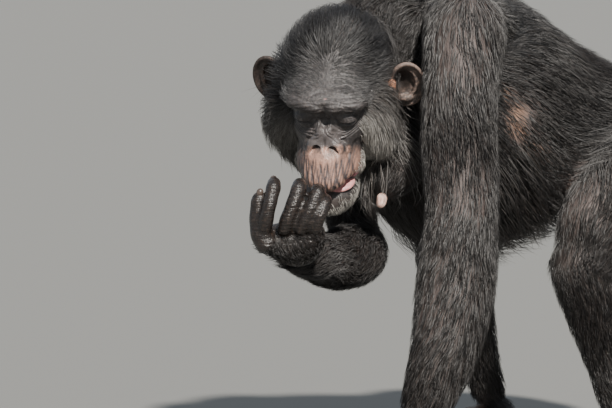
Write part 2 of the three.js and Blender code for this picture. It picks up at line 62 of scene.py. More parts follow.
headTurn = (
    Matrix.Rotation(math.radians(pose["yaw"]), 4, "Z")
    @ Matrix.Rotation(math.radians(pose["nod"]), 4, "X")
    @ Matrix.Rotation(math.radians(pose["tilt"]), 4, "Y")
)
headMatrix = Matrix.Translation(pose["head"]) @ headTurn


def onHead(x, y, z):
    return headMatrix @ Vector((x, y, z))


def eyeSeat(s):
    return onHead(eyes["across"] * s, -eyes["forward"], eyes["up"])


eyeLow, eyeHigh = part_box("eye_left")
shift = (Vector(eyeLow) + Vector(eyeHigh)) / 2 - eyeSeat(1) * mm
toScene = Matrix.Translation(shift) @ Matrix.Scale(mm, 4)


# Camera

view = {
    "azimuth": 50,
    "elevation": 5,
    "distance": 6.0,
    "target": (19.58, -283.29, 368.72),
    "lens": 278.82,
}


def addCamera():
    a = math.radians(view["azimuth"])
    e = math.radians(view["elevation"])
    back = Vector((math.sin(a) * math.cos(e), -math.cos(a) * math.cos(e), math.sin(e)))
    data = bpy.data.cameras.new("camera")
    camera = bpy.data.objects.new("camera", data)
    bpy.context.collection.objects.link(camera)
    data.sensor_width = 36
    data.lens = view["lens"]
    data.clip_end = 40
    camera.location = toScene @ Vector(view["target"]) + back * view["distance"]
    camera.rotation_mode = "QUATERNION"
    camera.rotation_quaternion = (-back).to_track_quat("-Z", "Y")
    bpy.context.scene.camera = camera


addCamera()
print("camera placed")


# Forms of the body. A station is x, y, z, half width, half depth and, where the section is
# wider on its deep side, by how much. The sizes reach to the tips of the coat.

trunkForm = {
    "stations": [
        (0, -176, 535, 64, 70), (0, -135, 522, 98, 120), (0, -70, 492, 132, 168, -0.08),
        (0, 0, 466, 146, 192, -0.04), (0, 80, 456, 148, 168), (0, 160, 452, 140, 124),
        (0, 240, 440, 132, 98), (0, 310, 422, 116, 82), (0, 368, 400, 70, 56),
    ],
    "across": (1, 0, 0),
    "caps": (0.1, 0.12),
    "depth": 26,
}
neckForm = {
    "stations": [
        (0, -84, 580, 64, 70), (4, -140, 578, 74, 76),
        (14, -184, 556, 72, 74), (26, -222, 534, 64, 64),
    ],
    "across": (0.9, 0.44, 0),
    "caps": (0.12, 0.12),
    "depth": 24,
}
alongView = (0.64, 0.77, 0)
armForms = {
    "upper_arm_left": {
        "stations": [
            (112, -88, 632, 44, 48), (131, -114, 590, 61, 62), (152, -139, 528, 56, 58),
            (174, -162, 455, 56, 54), (193, -174, 380, 55, 51), (199, -182, 330, 52, 48),
        ],
        "across": alongView,
        "caps": (0.16, 0.12),
        "depth": 13,
    },
    "forearm_left": {
        "stations": [
            (194, -178, 376, 47, 42), (199, -184, 325, 55, 49), (208, -199, 262, 56, 47),
            (211, -220, 190, 50, 40), (207, -246, 128, 39, 30), (202, -261, 88, 30, 24),
        ],
        "across": alongView,
        "caps": (0.14, 0.1),
        "depth": 11,
    },
    "upper_arm_right": {
        "stations": [
            (-84, -108, 585, 36, 40), (-112, -148, 545, 50, 56), (-104, -158, 488, 47, 52),
            (-80, -158, 420, 43, 46), (-52, -152, 350, 41, 43), (-32, -148, 304, 38, 40),
        ],
        "across": alongView,
        "caps": (0.16, 0.12),
        "depth": 13,
    },
    "forearm_right": {
        "stations": [
            (-44, -134, 308, 34, 38), (-20, -164, 296, 46, 48), (18, -228, 294, 46, 48),
            (54, -292, 302, 38, 40), (84, -350, 314, 32, 32), (96, -378, 324, 29, 27),
        ],
        "across": (0, 0, 1),
        "caps": (0.14, 0.1),
        "depth": 12,
    },
}
lumps = {
    "blade": {"centre": (84, -62, 592), "radii": (48, 74, 42)},
    "rump": {"centre": (62, 308, 410), "radii": (52, 56, 64)},
    "breast": [(60, -130, 450, 36), (66, -162, 418, 34), (70, -188, 392, 24), (70, -196, 377, 14)],
}
shankSteps = [  # share of the way from knee to ankle, step back, half width, half depth
    (-0.08, 4, 42, 44), (0.12, 8, 46, 50), (0.4, 12, 42, 48),
    (0.7, 6, 33, 38), (0.95, 2, 29, 33), (1.08, 2, 27, 32),
]


def legForms(side, s):
    knee = Vector(pose["knees"][side])
    ankle = Vector(pose["ankles"][side])
    thigh = [
        (84 * s, 285, 492, 62, 68), (98 * s, 250, 448, 76, 82), (122 * s, 190, 392, 70, 78),
        (knee.x * 0.94, knee.y + 46, knee.z + 38, 57, 64), (knee.x, knee.y + 4, knee.z + 2, 46, 48),
    ]
    shank = []
    for share, back, wide, deep in shankSteps:
        at = knee.lerp(ankle, share)
        shank.append((at.x, at.y + back, at.z, wide, deep))
    return {
        "thigh_" + side: {"stations": thigh, "across": (1, 0, 0), "caps": (0.2, 0.16), "depth": 15},
        "shank_" + side: {"stations": shank, "across": (1, 0, 0), "caps": (0.12, 0.1), "depth": 11},
    }


# Rows by station, read at shares t of the way along a smooth line through them
def smoothLine(rows, t):
    rows = np.asarray(rows, float)
    rows = np.vstack([2 * rows[0] - rows[1], rows, 2 * rows[-1] - rows[-2]])
    x = np.clip(np.asarray(t, float), 0, 1) * (len(rows) - 3)
    i = np.minimum(x.astype(int), len(rows) - 4)
    f = (x - i)[..., None]
    a, b, c, d = (rows[i + k] for k in range(4))
    return b + 0.5 * f * (c - a + f * (2 * a - 5 * b + 4 * c - d + f * (3 * (b - c) + d - a)))


def unit(v):
    return v / np.maximum(np.linalg.norm(v, axis=-1, keepdims=True), 1e-9)


def awayFrom(points, place):
    return np.linalg.norm(points - np.array(place), axis=1)


def falloff(d, near, far):
    x = np.clip((far - d) / (far - near), 0, 1)
    return x * x * (3 - 2 * x)


# A long rounded form along a smooth line
class Limb:
    def __init__(self, stations, across, caps, depth=0):
        rows = [tuple(row) + (0,) * (6 - len(row)) for row in stations]
        self.rows = np.array(rows, float)
        self.across = np.array(across, float)
        self.caps = caps
        self.depth = depth

    def axes(self, t):
        step = 0.01
        t = np.clip(t, step, 1 - step)
        way = unit(self.line(t + step)[..., :3] - self.line(t - step)[..., :3])
        side = unit(self.across - way * (way @ self.across)[..., None])
        return way, side, np.cross(way, side)

    def line(self, t):
        return smoothLine(self.rows, t)

    def rounding(self, t):
        start = np.minimum(t / self.caps[0], 1)
        end = np.minimum((1 - t) / self.caps[1], 1)
        return np.sqrt(
            np.maximum(0, 1 - (1 - start) ** 2) * np.maximum(0, 1 - (1 - end) ** 2)
        )

    def point(self, t, turn, less):
        t, turn = np.broadcast_arrays(np.asarray(t, float), np.asarray(turn, float))
        _, side, deep = self.axes(t)
        row = self.line(t)
        full = self.rounding(t)
        wide = (row[..., 3] - less) * (1 + row[..., 5] * np.sin(turn)) * full * np.cos(turn)
        high = (row[..., 4] - less) * full * np.sin(turn)
        return row[..., :3] + side * wide[..., None] + deep * high[..., None]


limbs = {"trunk": Limb(**trunkForm), "neck": Limb(**neckForm)}
for name, form in {**armForms, **legForms("left", 1), **legForms("right", -1)}.items():
    limbs[name] = Limb(**form)


# A round lump as a limb along the body
def lumpLimb(lump, s):
    x, y, z = lump["centre"]
    a, b, c = lump["radii"]
    rows = []
    for share in (-1, -0.85, -0.5, 0, 0.5, 0.85, 1):
        full = math.sqrt(max(1 - share * share, 0.02))
        rows.append((x * s, y + b * share, z, a * full, c * full))
    return Limb(rows, (1, 0, 0), (0.05, 0.05), 10)


for side, s in (("left", 1), ("right", -1)):
    for name in ("blade", "rump"):
        limbs[name + "_" + side] = lumpLimb(lumps[name], s)
    rows = [(x * s, y, z, r, r) for x, y, z, r in lumps["breast"]]
    limbs["breast_" + side] = Limb(rows, (0.9, 0.1, 0), (0.2, 0.2), 4)


# Rings round a limb's line, bridged one to the next and closed at both ends
def addLimb(bm, limb, less, sides=28, rings=24):
    loops = []
    for i in range(rings):
        t = 0.5 - 0.5 * math.cos(math.pi * (i + 0.35) / (rings - 0.3))
        made = bmesh.ops.create_circle(bm, segments=sides, radius=1)
        turns = 2 * np.pi * np.arange(sides) / sides
        for v, p in zip(made["verts"], limb.point(t, turns, less)):
            v.co = Vector(p)
        loops.append(list({e for v in made["verts"] for e in v.link_edges}))
    for a, b in zip(loops, loops[1:]):
        bmesh.ops.bridge_loops(bm, edges=a + b)
    bmesh.ops.edgeloop_fill(bm, edges=loops[0])
    bmesh.ops.edgeloop_fill(bm, edges=loops[-1])


def addBall(bm, centre, radii, turn=Matrix(), segments=32):
    place = Matrix.Translation(centre) @ turn @ Matrix.Diagonal((*radii, 1))
    bmesh.ops.create_uvsphere(
        bm, u_segments=segments, v_segments=segments // 2, radius=1, matrix=place
    )


def digitLimb(points, radii, breadth=1):
    first = (Vector(points[1]) - Vector(points[0])).normalized()
    last = (Vector(points[-1]) - Vector(points[0])).normalized()
    across = first.cross(last)
    if across.length < 0.1:
        across = Vector((1, 0.3, 0.2))
    stations = [(*p, r * breadth, r) for p, r in zip(points, radii)]
    return Limb(stations, across.normalized(), (0.1, 0.16))


def meshFrom(bm, name):
    bmesh.ops.recalc_face_normals(bm, faces=bm.faces)
    mesh = bpy.data.meshes.new(name)
    bm.to_mesh(mesh)
    bm.free()
    made = bpy.data.objects.new(name, mesh)
    bpy.context.collection.objects.link(made)
    return made


def applyModifiers(piece):
    graph = bpy.context.evaluated_depsgraph_get()
    mesh = bpy.data.meshes.new_from_object(piece.evaluated_get(graph))
    piece.modifiers.clear()
    old = piece.data
    piece.data = mesh
    bpy.data.meshes.remove(old)


# Size of the voxels that each piece is made of, in millimetres, and the share of the faces of
# each part of the skin that is kept
voxels = {"body": 6, "headForm": 2.6, "head": 2.4, "ears": 1.6, "hands": 2.4, "feet": 3, "nipples": 1.2}
kept = {"body": 0.45, "head": 0.65, "ears": 0.75, "hands": 0.8, "feet": 0.72}


# One closed surface round all the forms of a piece
def remesh(piece, voxel):
    made = piece.modifiers.new("remesh", "REMESH")
    made.mode = "VOXEL"
    made.voxel_size = voxel
    applyModifiers(piece)


def coordinates(piece):
    co = np.empty(len(piece.data.vertices) * 3, np.float32)
    piece.data.vertices.foreach_get("co", co)
    return co.reshape(-1, 3).astype(float)


def setCoordinates(piece, co):
    piece.data.vertices.foreach_set("co", co.astype(np.float32).ravel())
    piece.data.update()


# Round lumps that make up the bare head, in its own axes: x to its left, y to the back, z up.
# Each is on how many sides, centre, radii and how softly it blends into those before it.
headLumps = [
    (1, (0, 6, 34), (62, 76, 60), 0),
    (1, (0, 36, 4), (58, 52, 56), 24),
    (2, (39, -12, -30), (31, 46, 58), 20),
    (1, (0, -72, 40), (30, 24, 14), 20),
    (2, (28, -68, 39), (24, 22, 13), 18),
    (1, (0, -60, -6), (47, 38, 37), 18),
    (2, (27, -81.5, 20), (12.8, 12.8, 12.8), 5),
    (1, (0, -94, -36), (32, 39, 30), 14),
    (1, (0, -92, -10), (20, 17, 17), 8),
    (2, (5.5, -98, 2), (7, 9.5, 14), 4),
    (1, (14, -102, -13), (10, 11, 12), 4),
    (1, (-13, -103, -13), (10, 11, 12), 4),
    (1, (0, -111, -20), (6.5, 9, 11), 4),
    (1, (0, -112, -48), (29, 32, 18), 10),
    (2, (23, -80, -50), (20, 27, 24), 10),
    (1, (0, -86, -88), (35, 48, 27), 5),
]
headForm = []
for sides, (x, y, z), radii, blend in headLumps:
    for s in (1, -1)[:sides]:
        headForm.append(((x * s, y, z), radii, blend))
mouth = {
    "corners": [(-38, -90, -61), (-22, -126, -66), (0, -136, -67), (21, -126, -67), (40, -89, -59)],
    "heights": (2, 2.2, 3, 5.5, 4),
    "depth": 24,
}


# How far points lie outside the head, roughly in millimetres
def headField(q):
    far = None
    for centre, radii, blend in headForm:
        k = np.linalg.norm((q - centre) / radii, axis=1)
        d = (k - 1) * min(radii)
        if far is None:
            far = d
        else:
            h = np.maximum(blend - np.abs(far - d), 0) / max(blend, 1e-6)
            far = np.minimum(far, d) - h * h * blend / 4
    return far


def slope(field, q):
    step = 0.2
    rise = [
        field(q + np.eye(3)[k] * step) - field(q - np.eye(3)[k] * step) for k in range(3)
    ]
    return np.stack(rise, axis=1) / (2 * step)


def difference(piece, cutter):
    made = piece.modifiers.new("cut", "BOOLEAN")
    made.operation = "DIFFERENCE"
    made.solver = "MANIFOLD"
    made.object = cutter
    applyModifiers(piece)
    bpy.data.objects.remove(cutter)


def union(pieces):
    first = pieces[0]
    for other in pieces[1:]:
        made = first.modifiers.new("join", "BOOLEAN")
        made.operation = "UNION"
        made.solver = "MANIFOLD"
        made.object = other
        applyModifiers(first)
        bpy.data.objects.remove(other)
    return first


# Pairs of linked vertices, for smoothing
def edgesOf(piece):
    edges = np.empty(len(piece.data.edges) * 2, np.int32)
    piece.data.edges.foreach_get("vertices", edges)
    return edges.reshape(-1, 2)


def relaxed(co, edges, times, share=0.5):
    n = len(co)
    a, b = edges[:, 0], edges[:, 1]
    links = np.maximum(np.bincount(a, minlength=n) + np.bincount(b, minlength=n), 1)
    for _ in range(times):
        mean = np.stack(
            [
                (np.bincount(a, co[b, k], n) + np.bincount(b, co[a, k], n)) / links
                for k in range(3)
            ],
            axis=1,
        )
        co = co + (mean - co) * (share if np.isscalar(share) else share[:, None])
    return co


def relax(piece, times, share=0.5):
    setCoordinates(piece, relaxed(coordinates(piece), edgesOf(piece), times, share))


def makeHead():
    bm = bmesh.new()
    for centre, radii, _ in headForm:
        addBall(bm, Vector(centre), radii, segments=48)
    head = meshFrom(bm, "head")
    remesh(head, voxels["headForm"])
    co = coordinates(head)
    edges = edgesOf(head)
    for _ in range(6):
        rise = slope(headField, co)
        steep = np.maximum((rise**2).sum(axis=1), 0.15)
        co = co - rise * (headField(co) / steep)[:, None]
        co = relaxed(co, edges, 1, 0.4)
    setCoordinates(head, co)
    bm = bmesh.new()
    slot = [(*p, h, mouth["depth"]) for p, h in zip(mouth["corners"], mouth["heights"])]
    addLimb(bm, Limb(slot, (0, 0, 1), (0.1, 0.1)), 0)
    difference(head, meshFrom(bm, "mouthSlot"))
    remesh(head, voxels["head"])
    relax(head, 2)
    refine(head, lambda q: (q[1] < -52) & (np.abs(q[0]) < 58) & (q[2] > -82) & (q[2] < 66))
    for s in (1, -1):
        refine(head, lambda q: np.hypot(q[0] - 27 * s, q[2] - 18) < 25 - 40 * (q[1] > -66))
    carveFace(head)
    head.data.transform(headMatrix)
    return head


# Splits the faces that lie in a region, given by a test on the coordinates
def refine(piece, within):
    bm = bmesh.new()
    bm.from_mesh(piece.data)
    chosen = within(coordinates(piece).T)
    bm.verts.ensure_lookup_table()
    edges = [e for e in bm.edges if chosen[e.verts[0].index] and chosen[e.verts[1].index]]
    bmesh.ops.subdivide_edges(bm, edges=edges, cuts=1, use_grid_fill=True)
    bmesh.ops.triangulate(bm, faces=[f for f in bm.faces if len(f.verts) > 4])
    bm.to_mesh(piece.data)
    bm.free()


# Folds and hollows of the face: a path on the skin, its reach and how far it lifts the skin.
# Each is made on both sides of the face.
folds = [
    # brow: ridge, hollow over it, hollow under it and the notch between its halves
    ([(10, -97, 41), (28, -94, 44), (44, -84, 38)], 6, 2),
    ([(10, -92, 29), (24, -93, 31), (38, -88, 29), (45, -78, 20)], 4, -3.4),
    ([(0, -100, 44), (0, -96, 30)], 5, -3.4),
    ([(8, -96, 34), (20, -97, 36.5), (36, -91, 35)], 1.4, -1),
    ([(5, -96, 30), (11, -94, 25), (14, -92, 20)], 1.6, -1.6),
    ([(12, -95, 32), (26, -97, 35), (40, -90, 32)], 1.5, -1.3),
    ([(14, -95, 37), (28, -97, 40), (44, -88, 36)], 1.3, -1),
    # root and ridge of the nose, with its crease
    ([(0, -92, 24), (0, -92, 16)], 6, -2.4),
    ([(0, -96, 14), (0, -106, 0), (0, -115, -12), (0, -119, -20)], 1.6, -2.6),
    ([(3.5, -93, 19), (7, -92, 22)], 1.5, -1.1),
    ([(-6, -93, 16), (6, -93, 16)], 1.2, -0.9),
    ([(-7, -94, 12), (7, -94, 12)], 1.2, -0.7),
    # wings of the nose
    ([(10, -97, 9), (17, -99, 2), (25, -96, -8), (26, -98, -20), (16, -108, -29)], 1.8, -3),
    ([(22, -105, -22), (12, -113, -27), (0, -118, -29)], 3, 2.4),
    ([(0, -120, -34), (16, -116, -33), (28, -104, -27), (33, -96, -18)], 1.8, -1.8),
    # bags under the eyes
    ([(13, -90, 15), (19, -94, 9), (28, -94, 7), (37, -89, 10)], 1.3, -1.6),
    ([(12, -90, 12), (18, -95, 5), (28, -95, 2), (38, -89, 5)], 1.4, -2.2),
    ([(11, -91, 9), (17, -96, 1), (28, -95, -4), (40, -86, -1)], 1.5, -2.4),
    ([(11, -93, 6), (20, -97, -4), (31, -93, -10), (42, -82, -8)], 1.5, -2.4),
    ([(13, -95, 3), (23, -97, -7), (33, -92, -15), (43, -80, -15)], 1.5, -2.4),
    ([(30, -94, -8), (37, -87, -22), (44, -77, -24)], 1.8, -2),
    ([(14, -92, 9), (20, -96, 3), (29, -95, -1), (38, -89, 2)], 1.3, 1.1),
    ([(14, -92, 5), (22, -97, -3), (31, -94, -7), (41, -84, -5)], 1.3, 1.2),
    ([(16, -95, 1), (25, -96, -8), (34, -91, -13), (43, -81, -12)], 1.3, 1.1),
    # outer corner of the eye
    ([(40, -84, 18), (47, -76, 20)], 1.5, -1.3),
    ([(40, -84, 14), (47, -76, 12)], 1.5, -1.2),
    ([(39, -85, 10), (46, -77, 4)], 1.6, -1.2),
    # hollow of the cheek and fold down to the mouth
    ([(36, -84, -24), (42, -78, -40)], 7, -2.5),
    ([(33, -96, -26), (39, -92, -40), (43, -88, -54)], 2.4, -1.8),
    # rims of the lips
    ([(0, -141, -60), (18, -136, -60), (34, -116, -58)], 4, 1.6),
    ([(0, -136, -74), (20, -128, -75), (36, -108, -70)], 4, 1.8),
    ([(0, -128, -88), (22, -118, -88)], 5, -1.5),
    # chin
    ([(0, -124, -100), (10, -120, -100)], 8, 2),
]
nostril = {
    "left": [(10.5, -114, -12), (13, -114, -17), (14, -113, -22)],
    "right": [(-9.5, -114, -11), (-12, -115, -17), (-14, -113, -24)],
    "reach": 4.6,
    "push": (0, 12, 3),
}
wrinkles = {
    "lip": {"count": 29, "spread": 35, "reach": 1.0, "depth": 1.1},
    "brow": {"rows": (34, 39, 43.5, 47, 51, 55, 59.5), "reach": 1.0, "depth": 0.9},
    "lids": {"rings": (15.5, 18.5, 21.5, 25), "reach": 0.9, "depth": 0.9},
}
lipLines = [
    (wrinkles["lip"]["spread"] * (2 * i / (wrinkles["lip"]["count"] - 1) - 1) + a, b)
    for i, (a, b) in enumerate(
        zip(
            random.uniform(-1, 1, wrinkles["lip"]["count"]),
            random.uniform(0.5, 1.2, wrinkles["lip"]["count"]),
        )
    )
]


# Upright grooves over the upper lip, 0 to about 1
def lipGrooves(q):
    x, y, z = q.T
    band = falloff(-z, 57, 63) * falloff(np.abs(x), 32, 42)
    made = np.zeros(len(q))
    for i, (place, depth) in enumerate(lipLines):
        wave = place * (1 + 0.004 * (z + 40)) + 0.8 * np.sin(z * 0.25 + i * 2.1)
        top = falloff(z + 3 * np.sin(i * 2.7), -27, -19)
        made += depth * top * np.exp(-(((x - wave) / wrinkles["lip"]["reach"]) ** 2))
    return made * band * (y < -80)


# Fine folds that cross the brow
def browGrooves(q):
    x, y, z = q.T
    side = falloff(np.abs(x), 34, 52) * falloff(y, -70, -55)
    made = np.zeros(len(q))
    for i, height in enumerate(wrinkles["brow"]["rows"]):
        wave = height - 0.004 * x * x + 1.2 * np.sin(x * 0.16 + i * 1.7)
        made += np.exp(-(((z - wave) / wrinkles["brow"]["reach"]) ** 2))
    return made * side


# Rings of fine folds round the eyes, strongest under them
def lidGrooves(q):
    x, y, z = q.T
    made = np.zeros(len(q))
    for s in (1, -1):
        a, b = x * s - eyes["across"], z - eyes["up"]
        far = np.hypot(a * 0.9, b) * (1 + 0.05 * np.sin(5 * np.arctan2(b, a) + s))
        for ring in wrinkles["lids"]["rings"]:
            made += np.exp(-(((far - ring) / wrinkles["lids"]["reach"]) ** 2)) * falloff(b, -4, 9)
    return made * (y < -60)


slit = {
    # places as sines of the angle from the eye's own axes, distances from its middle
    "middle": -0.36, "bend": 0.1, "half": 0.9, "above": 0.2, "below": 0.17, "edge": 0.03,
    "floor": 8.8, "reach": 17,
    "rim": {"away": 0.09, "width": 0.07, "lift": 0.5},
    "crease": {"away": 0.42, "width": 0.06, "lift": -0.7},
}


# Distance from points to a path of straight steps
def distanceTo(q, path):
    path = np.array(path, float)
    best = np.full(len(q), 1e9)
    for a, b in zip(path, path[1:]):
        way = b - a
        share = np.clip(((q - a) @ way) / max(way @ way, 1e-9), 0, 1)
        best = np.minimum(best, np.linalg.norm(q - a - share[:, None] * way, axis=1))
    return best


def carveFace(head):
    q = coordinates(head)
    edges = edgesOf(head)
    front = falloff(q[:, 1], -60, -46) * falloff(-q[:, 2], 82, 96)
    q = relaxed(q, edges, 3, 0.5 * front)
    out = unit(slope(headField, q))
    lift = np.zeros(len(q))
    for path, reach, height in folds:
        for s in (1, -1):
            d = distanceTo(q, [(x * s, y, z) for x, y, z in path])
            share = np.exp(-((d / reach) ** 2))
            if path[0][0] == 0:
                share = share * np.where(q[:, 0] == 0, 0.5, q[:, 0] * s > 0)
            lift += height * share
    lift -= wrinkles["lip"]["depth"] * lipGrooves(q)
    lift -= wrinkles["brow"]["depth"] * browGrooves(q)
    lift -= wrinkles["lids"]["depth"] * lidGrooves(q)
    q = q + out * (lift * np.clip(front + (q[:, 1] < -60), 0, 1))[:, None]
    # nostrils
    for side in ("left", "right"):
        share = np.exp(-((distanceTo(q, nostril[side]) / nostril["reach"]) ** 4)) * (q[:, 1] < -98)
        q = q + np.array(nostril["push"]) * share[:, None]
    # lids, parted by a slit
    rimLook, creaseLook = slit["rim"], slit["crease"]
    for s in (1, -1):
        seat = np.array((eyes["across"] * s, -eyes["forward"], eyes["up"]), float)
        way = q - seat
        far = np.linalg.norm(way, axis=1)
        a = way[:, 0] / np.maximum(far, 1e-6) * s
        b = way[:, 2] / np.maximum(far, 1e-6)
        ahead = (way[:, 1] < 0) & (far < slit["reach"])
        arch = np.sqrt(np.clip(1 - (a / slit["half"]) ** 2, 0, 1))
        middle = slit["middle"] + slit["bend"] * a * a
        upper = middle + slit["above"] * arch
        lower = middle - slit["below"] * arch
        gap = np.maximum(b - upper, lower - b)
        share = falloff(gap, -slit["edge"], slit["edge"]) * ahead * (np.abs(a) < slit["half"])
        rim = np.exp(-(((gap - rimLook["away"]) / rimLook["width"]) ** 2))
        rim = rim * ahead * falloff(far, 13.5, 16)
        crease = np.exp(-(((b - upper - creaseLook["away"]) / creaseLook["width"]) ** 2))
        crease = crease * ahead * falloff(far, 13, 15)
        target = far + (slit["floor"] - far) * share
        target = target + rimLook["lift"] * rim + creaseLook["lift"] * crease
        q = seat + way * (target / np.maximum(far, 1e-6))[:, None]
    setCoordinates(head, q)


ears = {
    "across": 88,
    "back": 12,
    "up": 2,
    "turn": -12,
    "radii": (24, 8.5, 35),
    "bowlAt": (1, -8, 1.6),
    "bowl": (21.6, 12.5, 32.4),
    "concha": (-8, 0, 7),
    "hollow": (10, 7.2, 15),
    "tragus": (-20, -5, 5),
    "fold": (-2, -3, -20),
    "ridge": [(-2, 2, 24, 1.5), (7, 1, 18, 1.9), (11, 1, 6, 2.1), (10, 0, -8, 2.4), (3, -2, -19, 2.8)],
}


def earFrame(s):
    middle = onHead(ears["across"] * s, ears["back"], ears["up"])
    turn = headTurn @ Matrix.Rotation(math.radians(-ears["turn"] * s), 4, "Z")

    def off(x, y, z):
        return middle + turn @ Vector((x * s, y, z))

    return turn, off


def makeEars():
    bm = bmesh.new()
    cut = bmesh.new()
    hollow = bmesh.new()
    for s in (1, -1):
        turn, off = earFrame(s)
        addBall(bm, off(0, 0, 0), ears["radii"], turn)
        addBall(cut, off(*ears["bowlAt"]), ears["bowl"], turn)
        addBall(hollow, off(*ears["concha"]), ears["hollow"], turn)
    shell = meshFrom(bm, "shell")
    difference(shell, meshFrom(cut, "bowls"))
    difference(shell, meshFrom(hollow, "hollows"))
    bm = bmesh.new()
    bm.from_mesh(shell.data)
    bpy.data.objects.remove(shell)
    for s in (1, -1):
        turn, off = earFrame(s)
        addBall(bm, off(*ears["tragus"]), (6, 7, 9), turn)
        addBall(bm, off(*ears["fold"]), (10, 4, 5), turn)
        rows = [(*off(x, y, z), r, r) for x, y, z, r in ears["ridge"]]
        addLimb(bm, Limb(rows, (0, 0, 1), (0.2, 0.2)), 0, 12, 12)
    made = meshFrom(bm, "ears")
    remesh(made, voxels["ears"])
    relax(made, 3)
    return made


# Hands and feet

hands = {
    "palmRight": [
        (89, -366, 316, 32, 26), (104, -374, 328, 36, 24),
        (115, -388, 340, 44, 23), (122, -397, 351, 43, 19),
    ],
    "side": (0.643, 0.766, 0),
    "back": (0.766, -0.643, 0),
    # of index to little finger: step across the palm, lean and rise at the second joint,
    # how far the tip comes forward again, and radius
    "fingers": [(-31, 12, 51, 8, 10.5), (-7, 19, 49, 3, 11), (13, 22, 43, 2, 10.5), (31, 14, 31, 1, 9)],
    "thumbRight": [(108, -414, 325), (100, -423, 345), (97, -426, 365), (98, -426, 385), (99, -424, 397)],
    "palmLeft": [
        (201, -258, 108, 27, 22), (201, -262, 88, 34, 20),
        (200, -266, 62, 40, 19), (200, -268, 44, 39, 16),
    ],
    "row": (0.86, 0.5, 0),
    "forward": (0.5, -0.86, 0),
    "knuckleSteps": (28, 9.5, -9.5, -27),
    "reaches": (2, 6, 4, -3),
    "thumbLeft": [(176, -276, 92), (162, -288, 74), (158, -292, 56), (160, -290, 44)],
}
tips = []  # the end of each finger and toe: place, way to the tip, way out of its back, radius


# The joints of a digit are a little wider than the lengths between them.
def addDigit(bm, points, radii, breadth, back):
    base = digitLimb(points, radii, breadth)
    n = len(points)
    rows = []
    for i in range(2 * n - 1):
        row = base.line(i / (2 * n - 2))
        slim = 0.93 if i % 2 else 1
        rows.append((*row[:3], row[3] * slim, row[4] * slim))
    addLimb(bm, Limb(rows, base.across, base.caps), 0, 20, 26)
    way = Vector(points[-1]) - Vector(points[-2])
    tips.append((Vector(points[-1]), way.normalized(), Vector(back), radii[-1], breadth))


def makeHands():
    bm = bmesh.new()
    side = Vector(hands["side"])
    back = Vector(hands["back"])
    limbs["palm_right"] = Limb(hands["palmRight"], side, (0.2, 0.25))
    addLimb(bm, limbs["palm_right"], 0)
    knuckles = Vector(hands["palmRight"][-1][:3])
    for step, lean, rise, tip, radius in hands["fingers"]:
        path = [
            (0, 3, -6), (0.3 * lean, 13, 0.28 * rise), (0.66 * lean, 15, 0.66 * rise),
            (lean, 6, rise), (1.05 * lean, -9, rise + 4), (lean, -24 + tip, rise - 2 + tip),
        ]
        points = [knuckles + side * (step + a) + back * b + Vector((0, 0, c)) for a, b, c in path]
        radii = [radius * share for share in (1.12, 1, 0.96, 1.02, 0.92, 0.8)]
        addDigit(bm, points, radii, 0.9, (0, 0, 1))
    addDigit(bm, [Vector(p) for p in hands["thumbRight"]], (17, 14, 11, 9.5, 7.5), 1, (0.77, -0.64, 0))

    row = Vector(hands["row"])
    forward = Vector(hands["forward"])
    limbs["palm_left"] = Limb(hands["palmLeft"], row, (0.2, 0.2))
    addLimb(bm, limbs["palm_left"], 0)
    for step, reach in zip(hands["knuckleSteps"], hands["reaches"]):
        path = [(0, 52), (14, 36), (30 + reach, 15), (8 + reach, 11), (-14 + reach, 13), (-16 + reach, 32)]
        points = [Vector((200, -268, z)) - row * step + forward * f for f, z in path]
        addDigit(bm, points, (13, 13, 13, 12.5, 11.5, 9), 0.7, (-0.5, 0.86, 0))
    addDigit(bm, [Vector(p) for p in hands["thumbLeft"]], (11, 10.5, 9.5, 7.5), 1, (-0.6, -0.8, 0))
    made = meshFrom(bm, "hands")
    remesh(made, voxels["hands"])
    relax(made, 2, 0.4)
    return made


feet = {
    "sole": [
        (-2, 42, 23, 26, 27), (-1, 10, 29, 29, 34), (2, -40, 22, 33, 27),
        (5, -88, 14, 38, 18), (7, -118, 10, 34, 13),
    ],
    "toes": (-22, -3, 16, 34),
    "reaches": (0, 6, 3, -7),
    "bigToe": [(-12, -36, 16), (-34, -66, 14), (-50, -92, 10.5), (-56, -112, 8)],
}


def makeFeet():
    bm = bmesh.new()
    for side, s in (("left", 1), ("right", -1)):
        ankle = Vector(pose["ankles"][side])

        def on(dx, dy, z):
            return Vector((ankle.x + dx * s, ankle.y + dy, z))

        rows = [(*on(dx, dy, z), w, h) for dx, dy, z, w, h in feet["sole"]]
        limbs["sole_" + side] = Limb(rows, (1, 0, 0), (0.2, 0.2))
        addLimb(bm, limbs["sole_" + side], 0)
        for dx, reach in zip(feet["toes"], feet["reaches"]):
            points = [
                on(0.8 * dx + 6, -100, 14), on(dx + 8, -134 - 0.5 * reach, 17),
                on(dx + 10, -160 - reach, 9), on(dx + 10, -176 - reach, 6.5),
            ]
            addDigit(bm, points, (12, 11, 10.5, 9), 0.84, (0, 0, 1))
        addDigit(bm, [on(*p) for p in feet["bigToe"]], (17, 15, 13.5, 10), 1, (0, 0, 1))
    made = meshFrom(bm, "feet")
    remesh(made, voxels["feet"])
    relax(made, 2, 0.4)
    return made


# Fills the creases between the forms, as skin does over muscle
def fillCreases(piece, rounds, times):
    edges = edgesOf(piece)
    co = coordinates(piece)
    for _ in range(rounds):
        piece.data.update()
        normals = np.empty(len(co) * 3, np.float32)
        piece.data.vertex_normals.foreach_get("vector", normals)
        normals = normals.reshape(-1, 3)
        for _ in range(times):
            step = relaxed(co, edges, 1, 1.0) - co
            co = co + step * (0.6 * ((step * normals).sum(axis=1) > 0))[:, None]
        setCoordinates(piece, co)


def thinOut(piece, ratio):
    made = piece.modifiers.new("thin out", "DECIMATE")
    made.ratio = ratio
    applyModifiers(piece)


